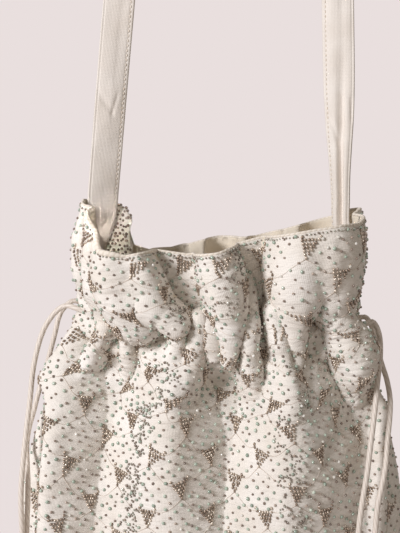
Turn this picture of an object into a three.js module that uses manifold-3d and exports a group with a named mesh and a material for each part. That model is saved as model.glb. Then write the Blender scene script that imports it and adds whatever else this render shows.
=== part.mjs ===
// A drawstring shoulder bag of beaded cloth, hanging from its strap.
// The pouch is a front and a back panel on an oval base, each with its own lining, and its mouth
// rises above the drawstring channel as a ruffle. Two cords run round the channel, one leaving it
// at each side, where its two ends hang down and are knotted together.
// Millimetres, +Z up, -Y to the front and +X to the right as one looks at the front. The origin
// is the underside of the strap's top, where a hook or a shoulder carries the bag.
import * as THREE from "three";
import { mergeVertices } from "three/addons/utils/BufferGeometryUtils.js";
import Module from "manifold-3d";

const wasm = await Module();
wasm.setup();

// Shoulder strap, a flat tube of folded cotton
const strapWidth = 20;
const strapThickness = 2.2;
const strapDrop = 289; // carried point to the fold where the strap meets the mouth
const strapArchRadius = 61; // inside of the arch over its support
const strapFootReach = 76.5; // middle of the bag to the middle of a strap foot
const strapTwistLength = 90; // where a leg turns from lying across the bag to lying over the arch
const strapEndLength = 38; // sewn part inside the mouth
const strapFoldHeight = 1.6; // over which the strap thins to the fold at the mouth
const strapFoldThickness = 0.2;
const strapTwistIntoMouth = 17; // height in which the sewn part turns against the side seam
const strapSeatRoom = 0.5; // kept off the lining, which runs straight from row to row

// Pouch, as half widths and half depths of the cloth line between lining and outer cloth
const rimHeight = -293.5; // height of the rim at the side seams
const frillHeight = 68; // rim to the middle of the drawstring channel
const bodyHeight = 224; // middle of the channel to the underside of the base
const bellyDrop = 150; // middle of the channel to the widest part
const rimHalfWidth = 88.5;
const rimHalfDepth = 34;
const neckHalfWidth = 85;
const neckHalfDepth = 26;
const bellyHalfWidth = 126;
const bellyHalfDepth = 46;
const baseHalfWidth = 106;
const baseHalfDepth = 38;
const planExponent = 2.4; // 2 is an ellipse, more is squarer
const frillBulge = 6; // how far the frill swells between rim and channel
const rimSag = 29; // how far the rim hangs lower between the side seams
const neckSag = 21; // and the channel
const sagExponent = 4; // how flat the hanging middle is

// Gathers, the lobes of the ruffle and the main folds below the channel. A lobe or fold is given
// at even steps of its drop by its middle and half width, as shares of the pouch's half width,
// and by its height as a share of the depth named here.
const gatherCount = 16; // ridges round the neck
const gatherDepth = 5;
const gatherFade = 95; // the ridges have died out this far below the channel
const ruffleDepth = 18;
const foldDepth = 13;
const ruffleLobes = {
  front: [
    { middles: [-0.63, -0.6, -0.51], halves: [0.19, 0.23, 0.27], heights: [0.65, 1, 1] },
    { middles: [-0.02, 0, 0.05], halves: [0.21, 0.2, 0.16], heights: [0.7, 1, 1] },
    { middles: [0.51, 0.52, 0.52], halves: [0.25, 0.25, 0.18], heights: [0.7, 1, 1] },
  ],
  back: [-0.72, -0.36, 0, 0.36, 0.72].map((middle) => ({
    middles: [middle, middle, middle],
    halves: [0.16, 0.16, 0.16],
    heights: [0.6, 0.85, 0.8],
  })),
};
const bodyFolds = {
  front: [
    {
      middles: [-0.32, -0.42, -0.44, -0.36, -0.35],
      halves: [0.13, 0.16, 0.2, 0.22, 0.24],
      heights: [0.9, 1, 0.8, 0.5, 0],
    },
    {
      middles: [0.41, 0.26, 0.21, 0.18, 0.17],
      halves: [0.14, 0.22, 0.27, 0.27, 0.27],
      heights: [0.9, 1, 0.9, 0.6, 0],
    },
  ],
  back: [-0.5, 0.02, 0.55].map((middle) => ({
    middles: [middle, middle, middle],
    halves: [0.14, 0.2, 0.24],
    heights: [0.5, 0.5, 0],
  })),
};

// Cloth
const outerThickness = 1.4;
const liningThickness = 0.8;
const boardThickness = 2;
const clothGap = 0.3;

// Drawstrings and their channel
const cordDiameter = 3.6;
const cordClearance = 0.7; // room on each side of a cord in the channel
const cordSpacing = 4.8; // between the two cords, one above the other
const channelHeight = 13;
const stitchRise = 3; // height in which the channel closes to its stitched edges
const slotClearance = 1.2; // above and below a cord in the gap of the side seam
const cordGap = 0.5; // between the stretches that one cord is modelled in
const exitAngle = THREE.MathUtils.degToRad(10); // from the side seam
const exitReach = 13; // outside the cloth line
const turnAngle = THREE.MathUtils.degToRad(26); // where a cord starts to leave the channel
const slotAngle = THREE.MathUtils.degToRad(25); // how far the gap runs from the seam
const tailLength = 26;
const knotHeight = 12;

// How finely the cloth is divided
const columnsRound = 64;
const frillSteps = 4;
const upperBodySteps = 6;
const lowerBodySteps = 3;
const liningUpperSteps = 2;
const liningLowerSteps = 3;

// Heights and drops that follow from the sizes above; a drop is measured down from the rim
const channelTop = frillHeight - channelHeight / 2;
const channelBottom = frillHeight + channelHeight / 2;
const baseDrop = frillHeight + bodyHeight;
const outerEnd = baseDrop - outerThickness - clothGap;
const boardTop = outerEnd - boardThickness;
const liningBaseTop = boardTop - clothGap - liningThickness;
const liningEnd = liningBaseTop - clothGap;
const channelRoom = cordDiameter + 2 * cordClearance;

// Half width, half depth and sag of the pouch at a drop below the rim. Under the channel it swells
// to the belly and draws in again to the base.
function sectionAt(drop) {
  if (drop <= frillHeight) {
    const t = drop / frillHeight;
    const swell = frillBulge * Math.sin(Math.PI * t);
    return {
      halfWidth: THREE.MathUtils.lerp(rimHalfWidth, neckHalfWidth, t) + swell,
      halfDepth: THREE.MathUtils.lerp(rimHalfDepth, neckHalfDepth, t),
      sag: THREE.MathUtils.lerp(rimSag, neckSag, t),
    };
  }
  const below = drop - frillHeight;
  const aboveBelly = below <= bellyDrop;
  const share = aboveBelly
    ? Math.sin((Math.PI / 2) * (below / bellyDrop))
    : Math.cos((Math.PI / 2) * Math.min(1, (below - bellyDrop) / (bodyHeight - bellyDrop)));
  const endWidth = aboveBelly ? neckHalfWidth : baseHalfWidth;
  const endDepth = aboveBelly ? neckHalfDepth : baseHalfDepth;
  return {
    halfWidth: THREE.MathUtils.lerp(endWidth, bellyHalfWidth, share),
    halfDepth: THREE.MathUtils.lerp(endDepth, bellyHalfDepth, share),
    sag: neckSag * (1 - Math.min(1, below / (liningEnd - frillHeight)) ** 2),
  };
}

// A point that lies outward of the cloth line, at an angle round the pouch from +X, and at a drop.
function wallPoint(angle, drop, outward) {
  const { halfWidth, halfDepth, sag } = sectionAt(drop);
  const across = Math.abs(Math.cos(angle)) ** (2 / planExponent);
  const along = Math.abs(Math.sin(angle)) ** (2 / planExponent);
  const normal = new THREE.Vector2(
    across ** (planExponent - 1) / halfWidth,
    along ** (planExponent - 1) / halfDepth,
  ).normalize();
  return new THREE.Vector3(
    Math.sign(Math.cos(angle)) * (halfWidth * across + outward * normal.x),
    Math.sign(Math.sin(angle)) * (halfDepth * along + outward * normal.y),
    rimHeight - drop - sag * (1 - across ** sagExponent),
  );
}

// A value at a share of the way through a list whose values stand at even steps.
function alongList(values, share) {
  const place = THREE.MathUtils.clamp(share, 0, 1) * (values.length - 1);
  const before = Math.min(Math.floor(place), values.length - 2);
  return THREE.MathUtils.lerp(values[before], values[before + 1], place - before);
}

// The height of the highest of some lobes or folds at an angle, as a share of their depth.
function foldHeight(folds, angle, share) {
  const across = Math.sign(Math.cos(angle)) * Math.abs(Math.cos(angle)) ** (2 / planExponent);
  const onSide = Math.sin(angle) < 0 ? folds.front : folds.back;
  const heights = onSide.map(({ middles, halves, heights }) => {
    const off = (across - alongList(middles, share)) / alongList(halves, share);
    return Math.abs(off) < 1 ? alongList(heights, share) * Math.cos((Math.PI / 2) * off) ** 2 : 0;
  });
  return Math.max(...heights);
}

// How far the lobes of the ruffle push both cloths outward.
function ruffleAt(angle, drop) {
  const share = drop / (channelTop - stitchRise);
  const fade = Math.max(0, 1 - share ** 5);
  return ruffleDepth * fade * foldHeight(ruffleLobes, angle, share);
}

// How far the folds below the channel push the outer cloth outward.
function foldAt(angle, drop) {
  const share = (drop - channelBottom) / (baseDrop - channelBottom);
  return share > 0 ? foldDepth * foldHeight(bodyFolds, angle, share) : 0;
}

// How far the gathers push the outer cloth outward.
function gatherAt(angle, drop) {
  const above = 0.2 + 0.8 * Math.min(1, drop / channelTop);
  const below = Math.max(0, 1 - (drop - channelBottom) / gatherFade) ** 2;
  const fade = drop < channelBottom ? above : below;
  return gatherDepth * fade * (0.5 - 0.5 * Math.cos(gatherCount * angle));
}

// How far the outer cloth stands off the lining to make room for the cords.
function roomAt(drop) {
  const outside = Math.max(channelTop - drop, drop - channelBottom, 0);
  return channelRoom * Math.max(0, 1 - outside / stitchRise);
}

// Drops spread evenly from one to another, both included.
function spread(from, to, steps) {
  return Array.from({ length: steps + 1 }, (_, i) => THREE.MathUtils.lerp(from, to, i / steps));
}

const bellyAt = frillHeight + bellyDrop;
const frillRows = spread(0, channelTop - stitchRise, frillSteps);
const bodyRows = [
  ...spread(channelBottom + stitchRise, bellyAt, upperBodySteps),
  ...spread(bellyAt, liningEnd, lowerBodySteps).slice(1),
];
const outerRows = [...frillRows, channelTop, channelBottom, ...bodyRows, outerEnd];
const liningRows = [
  ...frillRows,
  frillHeight,
  ...spread(channelBottom + stitchRise, bellyAt, liningUpperSteps),
  ...spread(bellyAt, liningEnd, liningLowerSteps).slice(1),
];

// The faces between rings of as many points each. From a point of the ring on, the quads are
// split along their other diagonal.
function wallFaces(rings, splitOtherFrom = Infinity) {
  const count = rings[0].length;
  const index = [];
  for (let r = 0; r + 1 < rings.length; r++) {
    for (let i = 0; i < count; i++) {
      const a = r * count + i;
      const b = r * count + ((i + 1) % count);
      if (i < splitOtherFrom) index.push(a, b, b + count, a, b + count, a + count);
      else index.push(a, b, a + count, b, b + count, a + count);
    }
  }
  return index;
}

// A closed surface through rings, its ends filled from their middles.
function loft(rings) {
  const count = rings[0].length;
  const points = rings.flat();
  const index = wallFaces(rings);
  const middleOf = (ring) =>
    ring.reduce((sum, p) => sum.add(p), new THREE.Vector3()).divideScalar(count);
  const first = points.push(middleOf(rings[0])) - 1;
  const last = points.push(middleOf(rings[rings.length - 1])) - 1;
  const top = (rings.length - 1) * count;
  for (let i = 0; i < count; i++) {
    const next = (i + 1) % count;
    index.push(first, next, i, last, top + i, top + next);
  }
  return new THREE.BufferGeometry().setFromPoints(points).setIndex(index);
}

// The same for long thin rings, whose ends are filled by pairing their two sides. Both sides are
// split alike, so cloths that lie in each other keep their gap.
function loftStrip(rings) {
  const count = rings[0].length;
  const index = wallFaces(rings, count / 2);
  const last = (rings.length - 1) * count;
  for (let i = 0; i + 1 < count / 2; i++) {
    const j = count - 1 - i;
    index.push(i, j, j - 1, i, j - 1, i + 1);
    index.push(last + i, last + j - 1, last + j, last + i, last + i + 1, last + j - 1);
  }
  return new THREE.BufferGeometry().setFromPoints(rings.flat()).setIndex(index);
}

// A piece of cloth on the pouch: columns from first to last round the bag, rows down its side,
// with the offsets of its inner and outer face at each angle and drop.
function clothPanel(firstColumn, lastColumn, rows, innerAt, outerAt) {
  const seamShift = clothGap / 2;
  const rings = [];
  for (let column = firstColumn; column <= lastColumn; column++) {
    const angle = (2 * Math.PI * column) / columnsRound;
    const place = (offsetAt) => (drop) => {
      const p = wallPoint(angle, drop, offsetAt(angle, drop));
      if (column === firstColumn) p.y = seamShift * Math.sign(Math.sin(angle + 0.1));
      if (column === lastColumn) p.y = seamShift * Math.sign(Math.sin(angle - 0.1));
      return p;
    };
    rings.push([...rows.map(place(outerAt)), ...rows.toReversed().map(place(innerAt))]);
  }
  return loftStrip(rings);
}

function toSolid(geometry) {
  const bare = geometry.clone();
  bare.deleteAttribute("normal");
  bare.deleteAttribute("uv");
  const merged = mergeVertices(bare, 1e-4);
  return new wasm.Manifold(
    new wasm.Mesh({
      numProp: 3,
      vertProperties: merged.attributes.position.array,
      triVerts: new Uint32Array(merged.index.array),
    }),
  );
}

function toGeometry(solid) {
  const made = solid.getMesh();
  return new THREE.BufferGeometry()
    .setAttribute("position", new THREE.BufferAttribute(made.vertProperties, made.numProp))
    .setIndex(new THREE.BufferAttribute(made.triVerts, 1));
}

// Outer cloth, cut open at the side seams where the cords leave
const outerInner = (angle, drop) =>
  clothGap / 2 +
  roomAt(drop) +
  ruffleAt(angle, drop) +
  Math.max(gatherAt(angle, drop), foldAt(angle, drop));
const outerOuter = (angle, drop) => outerInner(angle, drop) + outerThickness;
const liningOuter = (angle, drop) => ruffleAt(angle, drop) - clothGap / 2;
const liningInner = (angle, drop) => liningOuter(angle, drop) - liningThickness;

const leftCordDrop = frillHeight - cordSpacing / 2;
const rightCordDrop = frillHeight + cordSpacing / 2;
const halfColumns = columnsRound / 2;

// What is cut from the panels at a side seam, where a cord leaves.
function seamGap(seamAngle, cordDrop) {
  const halfHeight = cordDiameter / 2 + slotClearance;
  const drops = [cordDrop - halfHeight, cordDrop + halfHeight];
  const inside = clothGap / 2 + channelRoom / 2;
  const outside = inside + channelRoom + outerThickness + gatherDepth;
  const rings = spread(seamAngle - slotAngle, seamAngle + slotAngle, 8).map((angle) => [
    ...drops.map((drop) => wallPoint(angle, drop, outside)),
    ...drops.toReversed().map((drop) => wallPoint(angle, drop, inside)),
  ]);
  return toSolid(loft(rings));
}

const leftGap = seamGap(Math.PI, leftCordDrop);
const rightGap = seamGap(0, rightCordDrop);

function outerPanel(firstColumn) {
  const cloth = clothPanel(
    firstColumn,
    firstColumn + halfColumns,
    outerRows,
    outerInner,
    outerOuter,
  );
  return toGeometry(toSolid(cloth).subtract(leftGap).subtract(rightGap));
}

function liningPanel(firstColumn) {
  return clothPanel(
    firstColumn,
    firstColumn + halfColumns,
    liningRows,
    liningInner,
    liningOuter,
  );
}

// An oval plate in the pouch's own outline, between two drops near the base.
function basePlate(topDrop, bottomDrop, outward) {
  const ringAt = (drop) => {
    const ring = [];
    for (let column = 0; column < columnsRound; column += 2) {
      const angle = (2 * Math.PI * column) / columnsRound;
      const p = wallPoint(angle, bottomDrop, outward);
      p.z = rimHeight - drop;
      ring.push(p);
    }
    return ring;
  };
  return loft([ringAt(bottomDrop), ringAt(topDrop)]);
}

// One ring of the strap's section, a flat rounded bar, round a point.
function strapRing(middle, widthWay, thickWay, thickness = strapThickness) {
  const halfWidth = strapWidth / 2;
  const halfThick = thickness / 2;
  const shoulder = halfWidth - halfThick / 2;
  const corners = [
    [halfWidth, -halfThick / 2],
    [halfWidth, halfThick / 2],
    [shoulder, halfThick],
    [-shoulder, halfThick],
    [-halfWidth, halfThick / 2],
    [-halfWidth, -halfThick / 2],
    [-shoulder, -halfThick],
    [shoulder, -halfThick],
  ];
  return corners.map(([w, t]) =>
    middle.clone().addScaledVector(widthWay, w).addScaledVector(thickWay, t),
  );
}

// The strap from fold to fold: up the left leg, turning, over the arch and down the right leg.
function strapArch() {
  const radius = strapArchRadius + strapThickness / 2;
  const legHeight = strapDrop - strapArchRadius;
  const straight = legHeight - strapTwistLength;
  const lower = spread(strapFoldHeight, straight, 3);
  const upper = spread(straight, legHeight, 10).slice(1, -1);
  const heights = [0, ...lower, ...upper];
  const legRing = (side, height) => {
    const x = THREE.MathUtils.lerp(strapFootReach, radius, height / legHeight);
    const turned = THREE.MathUtils.smoothstep(height, straight, legHeight);
    const twist = (Math.PI / 2) * turned;
    return strapRing(
      new THREE.Vector3(side * x, 0, -strapDrop + height),
      new THREE.Vector3(-side * Math.cos(twist), Math.sin(twist), 0),
      new THREE.Vector3(side * Math.sin(twist), Math.cos(twist), 0),
      height === 0 ? strapFoldThickness : strapThickness,
    );
  };
  const archSteps = 16;
  const archRing = (share) => {
    const angle = Math.PI * (1 - share);
    const radial = new THREE.Vector3(Math.cos(angle), 0, Math.sin(angle));
    const middle = radial.clone().multiplyScalar(radius);
    middle.z -= strapArchRadius;
    return strapRing(middle, new THREE.Vector3(0, 1, 0), radial);
  };
  return loft([
    ...heights.map((height) => legRing(-1, height)),
    ...spread(0, 1, archSteps).map(archRing),
    ...heights.reverse().map((height) => legRing(1, height)),
  ]);
}

// A sewn end of the strap: from the fold it turns a quarter and lies against the side seam.
function strapEnd(side) {
  const steps = 12;
  const top = strapDrop + clothGap;
  const rings = [];
  const ringAt = (down, turn, x) =>
    strapRing(
      new THREE.Vector3(side * x, 0, -top - down),
      new THREE.Vector3(-side * Math.cos(turn), Math.sin(turn), 0),
      new THREE.Vector3(side * Math.sin(turn), Math.cos(turn), 0),
      down === 0 ? strapFoldThickness : strapThickness,
    );
  const seatAt = (down) => {
    const drop = Math.max(top + down + rimHeight, 0);
    const edgeShare = strapWidth / 2 / sectionAt(drop).halfDepth;
    const edgeAngle = Math.asin(edgeShare ** (planExponent / 2));
    const liningAt = (angle) => wallPoint(angle, drop, liningInner(angle, drop)).x;
    const nearest = Math.min(liningAt(0), liningAt(edgeAngle));
    return nearest - clothGap - strapSeatRoom - strapThickness / 2;
  };
  rings.push(ringAt(0, 0, strapFootReach));
  for (let i = 0; i <= steps; i++) {
    const share = i / steps;
    const down = THREE.MathUtils.lerp(strapFoldHeight, strapTwistIntoMouth, share);
    const x = THREE.MathUtils.lerp(strapFootReach, seatAt(down), share * share);
    rings.push(ringAt(down, (Math.PI / 2) * share, x));
  }
  rings.push(ringAt(strapEndLength, Math.PI / 2, seatAt(strapEndLength)));
  return loft(side < 0 ? rings.reverse() : rings);
}

// Where the ends of each cord hang, from the side of the channel down to the knot
const leftFrontRoute = [
  [-100.6, -10.4, -361.8],
  [-104.6, -9.8, -365.4],
  [-108.6, -9.2, -370.8],
  [-110.8, -9.2, -374.7],
  [-113.5, -9.5, -381.9],
  [-115.4, -10.5, -389.6],
  [-117.4, -12.5, -402.2],
  [-118.4, -15.5, -421],
  [-119.4, -20.5, -439.5],
  [-120, -25.6, -458],
  [-120.2, -29.4, -476.5],
  [-119.4, -31.2, -490],
  [-118.4, -31.6, -505],
  [-117.8, -31.6, -525],
  [-117.6, -31.6, -548],
  [-117.4, -31.6, -570],
];
const leftRearRoute = [
  [-100.2, 10.4, -362.6],
  [-103.8, 9.4, -367],
  [-106, 8.8, -373],
  [-107.2, 8.6, -379],
  [-109, 9.2, -386.6],
  [-111.2, 10.2, -395],
  [-114.7, 11, -409],
  [-118.2, 8.4, -422.2],
  [-120.2, 3, -434],
  [-121.2, -5.5, -443],
  [-120.8, -13, -452],
  [-119, -19, -461.5],
  [-117.4, -23.2, -472],
  [-116.8, -25.6, -483],
  [-116.8, -27, -496],
  [-117, -27.4, -515],
  [-117.2, -27.4, -542],
  [-117.2, -27.4, -570],
];
const rightFrontRoute = [
  [98.4, -10.7, -364.4],
  [100.8, -10.5, -367],
  [102.4, -10.8, -370.6],
  [103.4, -11.4, -374.8],
  [103.8, -12.4, -380],
  [103.5, -14.5, -388.6],
  [101.9, -18.2, -398.4],
  [99.4, -24.8, -417.3],
  [96.4, -31.4, -435.7],
  [93.8, -36.2, -454.7],
  [90.7, -39.8, -474],
  [89.2, -41.6, -490.4],
  [89.4, -42.4, -510],
  [90.2, -42.8, -530],
  [91, -42.8, -550],
  [91.2, -42.8, -570],
];
const rightRearRoute = [
  [98.6, 9.9, -364.8],
  [101.8, 8.2, -369.2],
  [103.6, 6, -375.6],
  [105.8, 3, -384.6],
  [108.2, -1, -393.7],
  [110.8, -5.8, -403.1],
  [112, -11.5, -414.1],
  [110.8, -17.4, -424.6],
  [108.4, -24, -437.7],
  [106.7, -29.5, -451.6],
  [103.8, -34, -463.5],
  [101, -37.4, -475],
  [99.8, -39.8, -490.7],
  [98, -41.4, -510],
  [96.2, -42.4, -530],
  [95.4, -42.8, -550],
  [95.2, -42.8, -570],
];

// A stretch of another curve, between two lengths measured along it.
class Stretch extends THREE.Curve {
  constructor(whole, from, to) {
    super();
    this.whole = whole;
    this.from = from / whole.getLength();
    this.to = to / whole.getLength();
  }
  getPoint(t, target = new THREE.Vector3()) {
    return this.whole.getPointAt(THREE.MathUtils.lerp(this.from, this.to, t), target);
  }
}

const tubeSides = 8;

// A round bar along a curve.
function cordTube(curve, steps) {
  const section = new THREE.Shape();
  for (let i = 0; i < tubeSides; i++) {
    const angle = (2 * Math.PI * i) / tubeSides;
    const x = (cordDiameter / 2) * Math.cos(angle);
    const y = (cordDiameter / 2) * Math.sin(angle);
    if (i === 0) section.moveTo(x, y);
    else section.lineTo(x, y);
  }
  return new THREE.ExtrudeGeometry(section, { steps, bevelEnabled: false, extrudePath: curve });
}

// The line of one cord, from knot to knot, and the lengths along it at which it enters and leaves
// the channel. It hangs out at seamAngle and goes round the other side.
function drawstringLine(seamAngle, cordDrop, frontRoute, rearRoute) {
  const inCavity = clothGap / 2 + channelRoom / 2;
  const frontWay = seamAngle === 0 ? -1 : 1; // from the seam towards the front
  const leaving = (way) => {
    const points = [];
    const steps = 3;
    for (let i = 0; i <= steps; i++) {
      const share = i / steps;
      const angle = seamAngle + way * THREE.MathUtils.lerp(exitAngle, turnAngle, share);
      const reach = THREE.MathUtils.lerp(exitReach, inCavity, 1 - (1 - share) ** 1.6);
      points.push(wallPoint(angle, cordDrop, reach));
    }
    return points;
  };
  const held = [];
  const heldSteps = 40;
  for (let i = 1; i < heldSteps; i++) {
    const turn = THREE.MathUtils.lerp(turnAngle, 2 * Math.PI - turnAngle, i / heldSteps);
    held.push(wallPoint(seamAngle + frontWay * turn, cordDrop, inCavity));
  }
  const toPoints = (route) => route.map((p) => new THREE.Vector3(...p));
  const points = [
    ...toPoints(frontRoute).reverse(),
    ...leaving(frontWay),
    ...held,
    ...leaving(-frontWay).reverse(),
    ...toPoints(rearRoute),
  ];
  const curve = new THREE.CatmullRomCurve3(points, false, "centripetal");
  curve.arcLengthDivisions = 2000;
  const perSpan = 40;
  const lengths = curve.getLengths((points.length - 1) * perSpan);
  return {
    curve,
    enters: lengths[frontRoute.length * perSpan],
    leaves: lengths[(points.length - 1 - rearRoute.length) * perSpan],
  };
}

const strandSteps = 24;
const heldTubeSteps = 54;

// The three tubes of one cord: the front end that hangs, the stretch in the channel, the rear end.
function drawstring(line) {
  const { curve, enters, leaves } = line;
  const whole = curve.getLength();
  return {
    front: cordTube(new Stretch(curve, 0, enters - cordGap), strandSteps),
    held: cordTube(new Stretch(curve, enters, leaves), heldTubeSteps),
    rear: cordTube(new Stretch(curve, leaves + cordGap, whole), strandSteps),
  };
}

const leftLine = drawstringLine(Math.PI, leftCordDrop, leftFrontRoute, leftRearRoute);
const rightLine = drawstringLine(0, rightCordDrop, rightFrontRoute, rightRearRoute);
const leftCord = drawstring(leftLine);
const rightCord = drawstring(rightLine);
for (const [side, { curve, enters, leaves }] of Object.entries({ leftLine, rightLine })) {
  const lengths = [enters, leaves - enters, curve.getLength() - leaves];
  console.log(side, "front, held, rear mm:", lengths.map((mm) => mm.toFixed(1)).join(", "));
}

// An overhand knot in both ends of a cord, drawn tight, with the two tails below it.
function knot(frontEnd, rearEnd) {
  const top = new THREE.Vector3().addVectors(frontEnd, rearEnd).multiplyScalar(0.5);
  top.z = Math.min(frontEnd.z, rearEnd.z) - clothGap;
  const wrapRadius = cordDiameter * 0.95;
  const turns = 1.8;
  const wrapPoints = [];
  const wrapSteps = 12;
  for (let i = 0; i <= wrapSteps; i++) {
    const share = i / wrapSteps;
    const angle = 2 * Math.PI * turns * share;
    const z = -cordDiameter / 2 - share * (knotHeight - cordDiameter);
    wrapPoints.push(
      new THREE.Vector3(wrapRadius * Math.cos(angle), wrapRadius * Math.sin(angle), z),
    );
  }
  const wrap = cordTube(new THREE.CatmullRomCurve3(wrapPoints), 24);
  const core = new THREE.CylinderGeometry(cordDiameter, cordDiameter, knotHeight, 10);
  core.rotateX(Math.PI / 2).translate(0, 0, -knotHeight / 2);
  let solid = toSolid(core).add(toSolid(wrap));
  for (const side of [-1, 1]) {
    const tail = new THREE.CatmullRomCurve3([
      new THREE.Vector3(side * cordDiameter * 0.55, 0, -knotHeight / 2),
      new THREE.Vector3(side * cordDiameter * 0.6, 0, -knotHeight - tailLength * 0.3),
      new THREE.Vector3(side * cordDiameter * 0.95, 0, -knotHeight - tailLength * 0.7),
      new THREE.Vector3(side * cordDiameter * 1.1, 0, -knotHeight - tailLength),
    ]);
    solid = solid.add(toSolid(cordTube(tail, 4)));
  }
  return { geometry: toGeometry(solid), top };
}

const endOf = (route) => new THREE.Vector3(...route[route.length - 1]);

// Colours as they look in daylight
const clothIvory = { color: 0xefe8df, roughness: 0.85, metalness: 0 };
const liningCream = { color: 0xe9dfcf, roughness: 0.8, metalness: 0 };
const strapCream = { color: 0xe6dccf, roughness: 0.7, metalness: 0 };
const cordIvory = { color: 0xeee4dc, roughness: 0.6, metalness: 0 };
const boardGrey = { color: 0xb9b2a6, roughness: 0.9, metalness: 0 };

const bag = new THREE.Group();

function addPiece(name, geometry, look) {
  const piece = new THREE.Mesh(geometry, new THREE.MeshStandardMaterial(look));
  piece.name = name;
  bag.add(piece);
  return piece;
}

// Columns run from +X over the back, so the back panel is the first half and the front the second
addPiece("outer_back_panel", outerPanel(0), clothIvory);
addPiece("outer_front_panel", outerPanel(halfColumns), clothIvory);
addPiece(
  "outer_base_panel",
  basePlate(baseDrop - outerThickness, baseDrop, clothGap / 2 + outerThickness),
  clothIvory,
);
addPiece("base_board", basePlate(boardTop, outerEnd, -clothGap), boardGrey);
addPiece("lining_back_panel", liningPanel(0), liningCream);
addPiece("lining_front_panel", liningPanel(halfColumns), liningCream);
addPiece(
  "lining_base_panel",
  basePlate(liningBaseTop, liningBaseTop + liningThickness, -clothGap / 2),
  liningCream,
);
addPiece("shoulder_strap", strapArch(), strapCream);
addPiece("strap_end_left", strapEnd(-1), strapCream);
addPiece("strap_end_right", strapEnd(1), strapCream);
addPiece("drawstring_left_in_channel", leftCord.held, cordIvory);
addPiece("drawstring_right_in_channel", rightCord.held, cordIvory);
addPiece("drawstring_left_front_end", leftCord.front, cordIvory);
addPiece("drawstring_left_rear_end", leftCord.rear, cordIvory);
addPiece("drawstring_right_front_end", rightCord.front, cordIvory);
addPiece("drawstring_right_rear_end", rightCord.rear, cordIvory);

const knots = {
  knot_left: knot(endOf(leftFrontRoute), endOf(leftRearRoute)),
  knot_right: knot(endOf(rightFrontRoute), endOf(rightRearRoute)),
};
for (const [name, made] of Object.entries(knots)) {
  addPiece(name, made.geometry, cordIvory).position.copy(made.top);
}

export default bag;
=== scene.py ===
# A drawstring shoulder bag of beaded cotton, hanging from its strap.
# Metres, +Z up, -Y to the front. The origin is the underside of the strap's top.
import math

import bpy
import numpy as np
from mathutils import Matrix, Vector


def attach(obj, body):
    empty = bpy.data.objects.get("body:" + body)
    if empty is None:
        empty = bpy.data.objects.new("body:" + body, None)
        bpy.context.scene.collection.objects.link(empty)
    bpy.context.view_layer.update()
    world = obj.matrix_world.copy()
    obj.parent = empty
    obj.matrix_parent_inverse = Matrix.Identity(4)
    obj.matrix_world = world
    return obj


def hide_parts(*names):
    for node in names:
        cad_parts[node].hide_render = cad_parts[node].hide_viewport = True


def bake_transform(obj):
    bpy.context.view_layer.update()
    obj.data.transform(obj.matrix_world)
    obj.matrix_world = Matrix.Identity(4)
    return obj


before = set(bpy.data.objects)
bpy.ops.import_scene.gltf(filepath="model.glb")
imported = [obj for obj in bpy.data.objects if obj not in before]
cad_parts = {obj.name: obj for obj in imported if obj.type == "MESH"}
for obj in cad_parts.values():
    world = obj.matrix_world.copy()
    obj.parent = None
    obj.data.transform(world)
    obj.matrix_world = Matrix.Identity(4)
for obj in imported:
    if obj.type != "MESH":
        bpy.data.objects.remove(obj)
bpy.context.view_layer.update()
mm = 0.001

# Camera, at the height of the mouth and a little above it
cameraSet = {
    "target": (-0.0127, 0, -0.3335),
    "distance": 0.48,
    "elevation": 5.0,  # degrees
    "roll": 1.8,
    "lens": 50.0,
}


# The camera looks down at its target by its elevation and is rolled about its view.
def placeCamera(c):
    tilt = math.radians(c["elevation"])
    roll = math.radians(c["roll"])
    back = Vector((0, -math.cos(tilt), math.sin(tilt)))
    right = Vector((1, 0, 0))
    up = back.cross(right)
    across = right * math.cos(roll) + up * math.sin(roll)
    upward = up * math.cos(roll) - right * math.sin(roll)
    camera = bpy.data.objects.new("camera", bpy.data.cameras.new("camera"))
    camera.matrix_world = Matrix((across, upward, back)).transposed().to_4x4()
    camera.location = Vector(c["target"]) + back * c["distance"]
    camera.data.lens = c["lens"]
    camera.data.clip_start = 0.01
    bpy.context.scene.collection.objects.link(camera)
    bpy.context.scene.camera = camera


placeCamera(cameraSet)

# Meshes


# A mesh from points and lists of faces, one row of an array a face, smooth, with its UV map, or
# for a bar the cosine and sine of the turn round it and the length along it.
def addMesh(name, points, faces, uv=None, around=None):
    mesh = bpy.data.meshes.new(name)
    loops = np.concatenate([f.ravel() for f in faces]).astype(np.int32)
    sizes = np.concatenate([np.full(len(f), f.shape[1]) for f in faces])
    starts = np.concatenate([[0], np.cumsum(sizes)[:-1]]).astype(np.int32)
    mesh.vertices.add(len(points))
    mesh.vertices.foreach_set("co", np.asarray(points, np.float32).ravel())
    mesh.loops.add(len(loops))
    mesh.loops.foreach_set("vertex_index", loops)
    mesh.polygons.add(len(sizes))
    mesh.polygons.foreach_set("loop_start", starts)
    mesh.polygons.foreach_set("use_smooth", np.ones(len(sizes), bool))
    if uv is not None:
        layer = mesh.uv_layers.new(name="cloth")
        layer.data.foreach_set("uv", np.asarray(uv, np.float32)[loops].ravel())
    if around is not None:
        layer = mesh.attributes.new("around", "FLOAT_VECTOR", "POINT")
        layer.data.foreach_set("vector", np.asarray(around, np.float32).ravel())
    mesh.update(calc_edges=True)
    mesh.validate()
    piece = bpy.data.objects.new(name, mesh)
    bpy.context.scene.collection.objects.link(piece)
    return piece


# The four-sided faces of a grid of rows and columns, numbered row by row from first. A ring joins
# its last column to its first, and a closed grid its last row too.
def gridFaces(rows, columns, first=0, ring=False, flip=False, closed=False):
    r, c = np.meshgrid(np.arange(rows - (not closed)), np.arange(columns - (not ring)), indexing="ij")
    below, beside = (r + 1) % rows * columns, (c + 1) % columns
    quads = np.stack([r * columns + c, below + c, below + beside, r * columns + beside], -1)
    quads = first + quads.reshape(-1, 4)
    return quads[:, ::-1] if flip else quads


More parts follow.
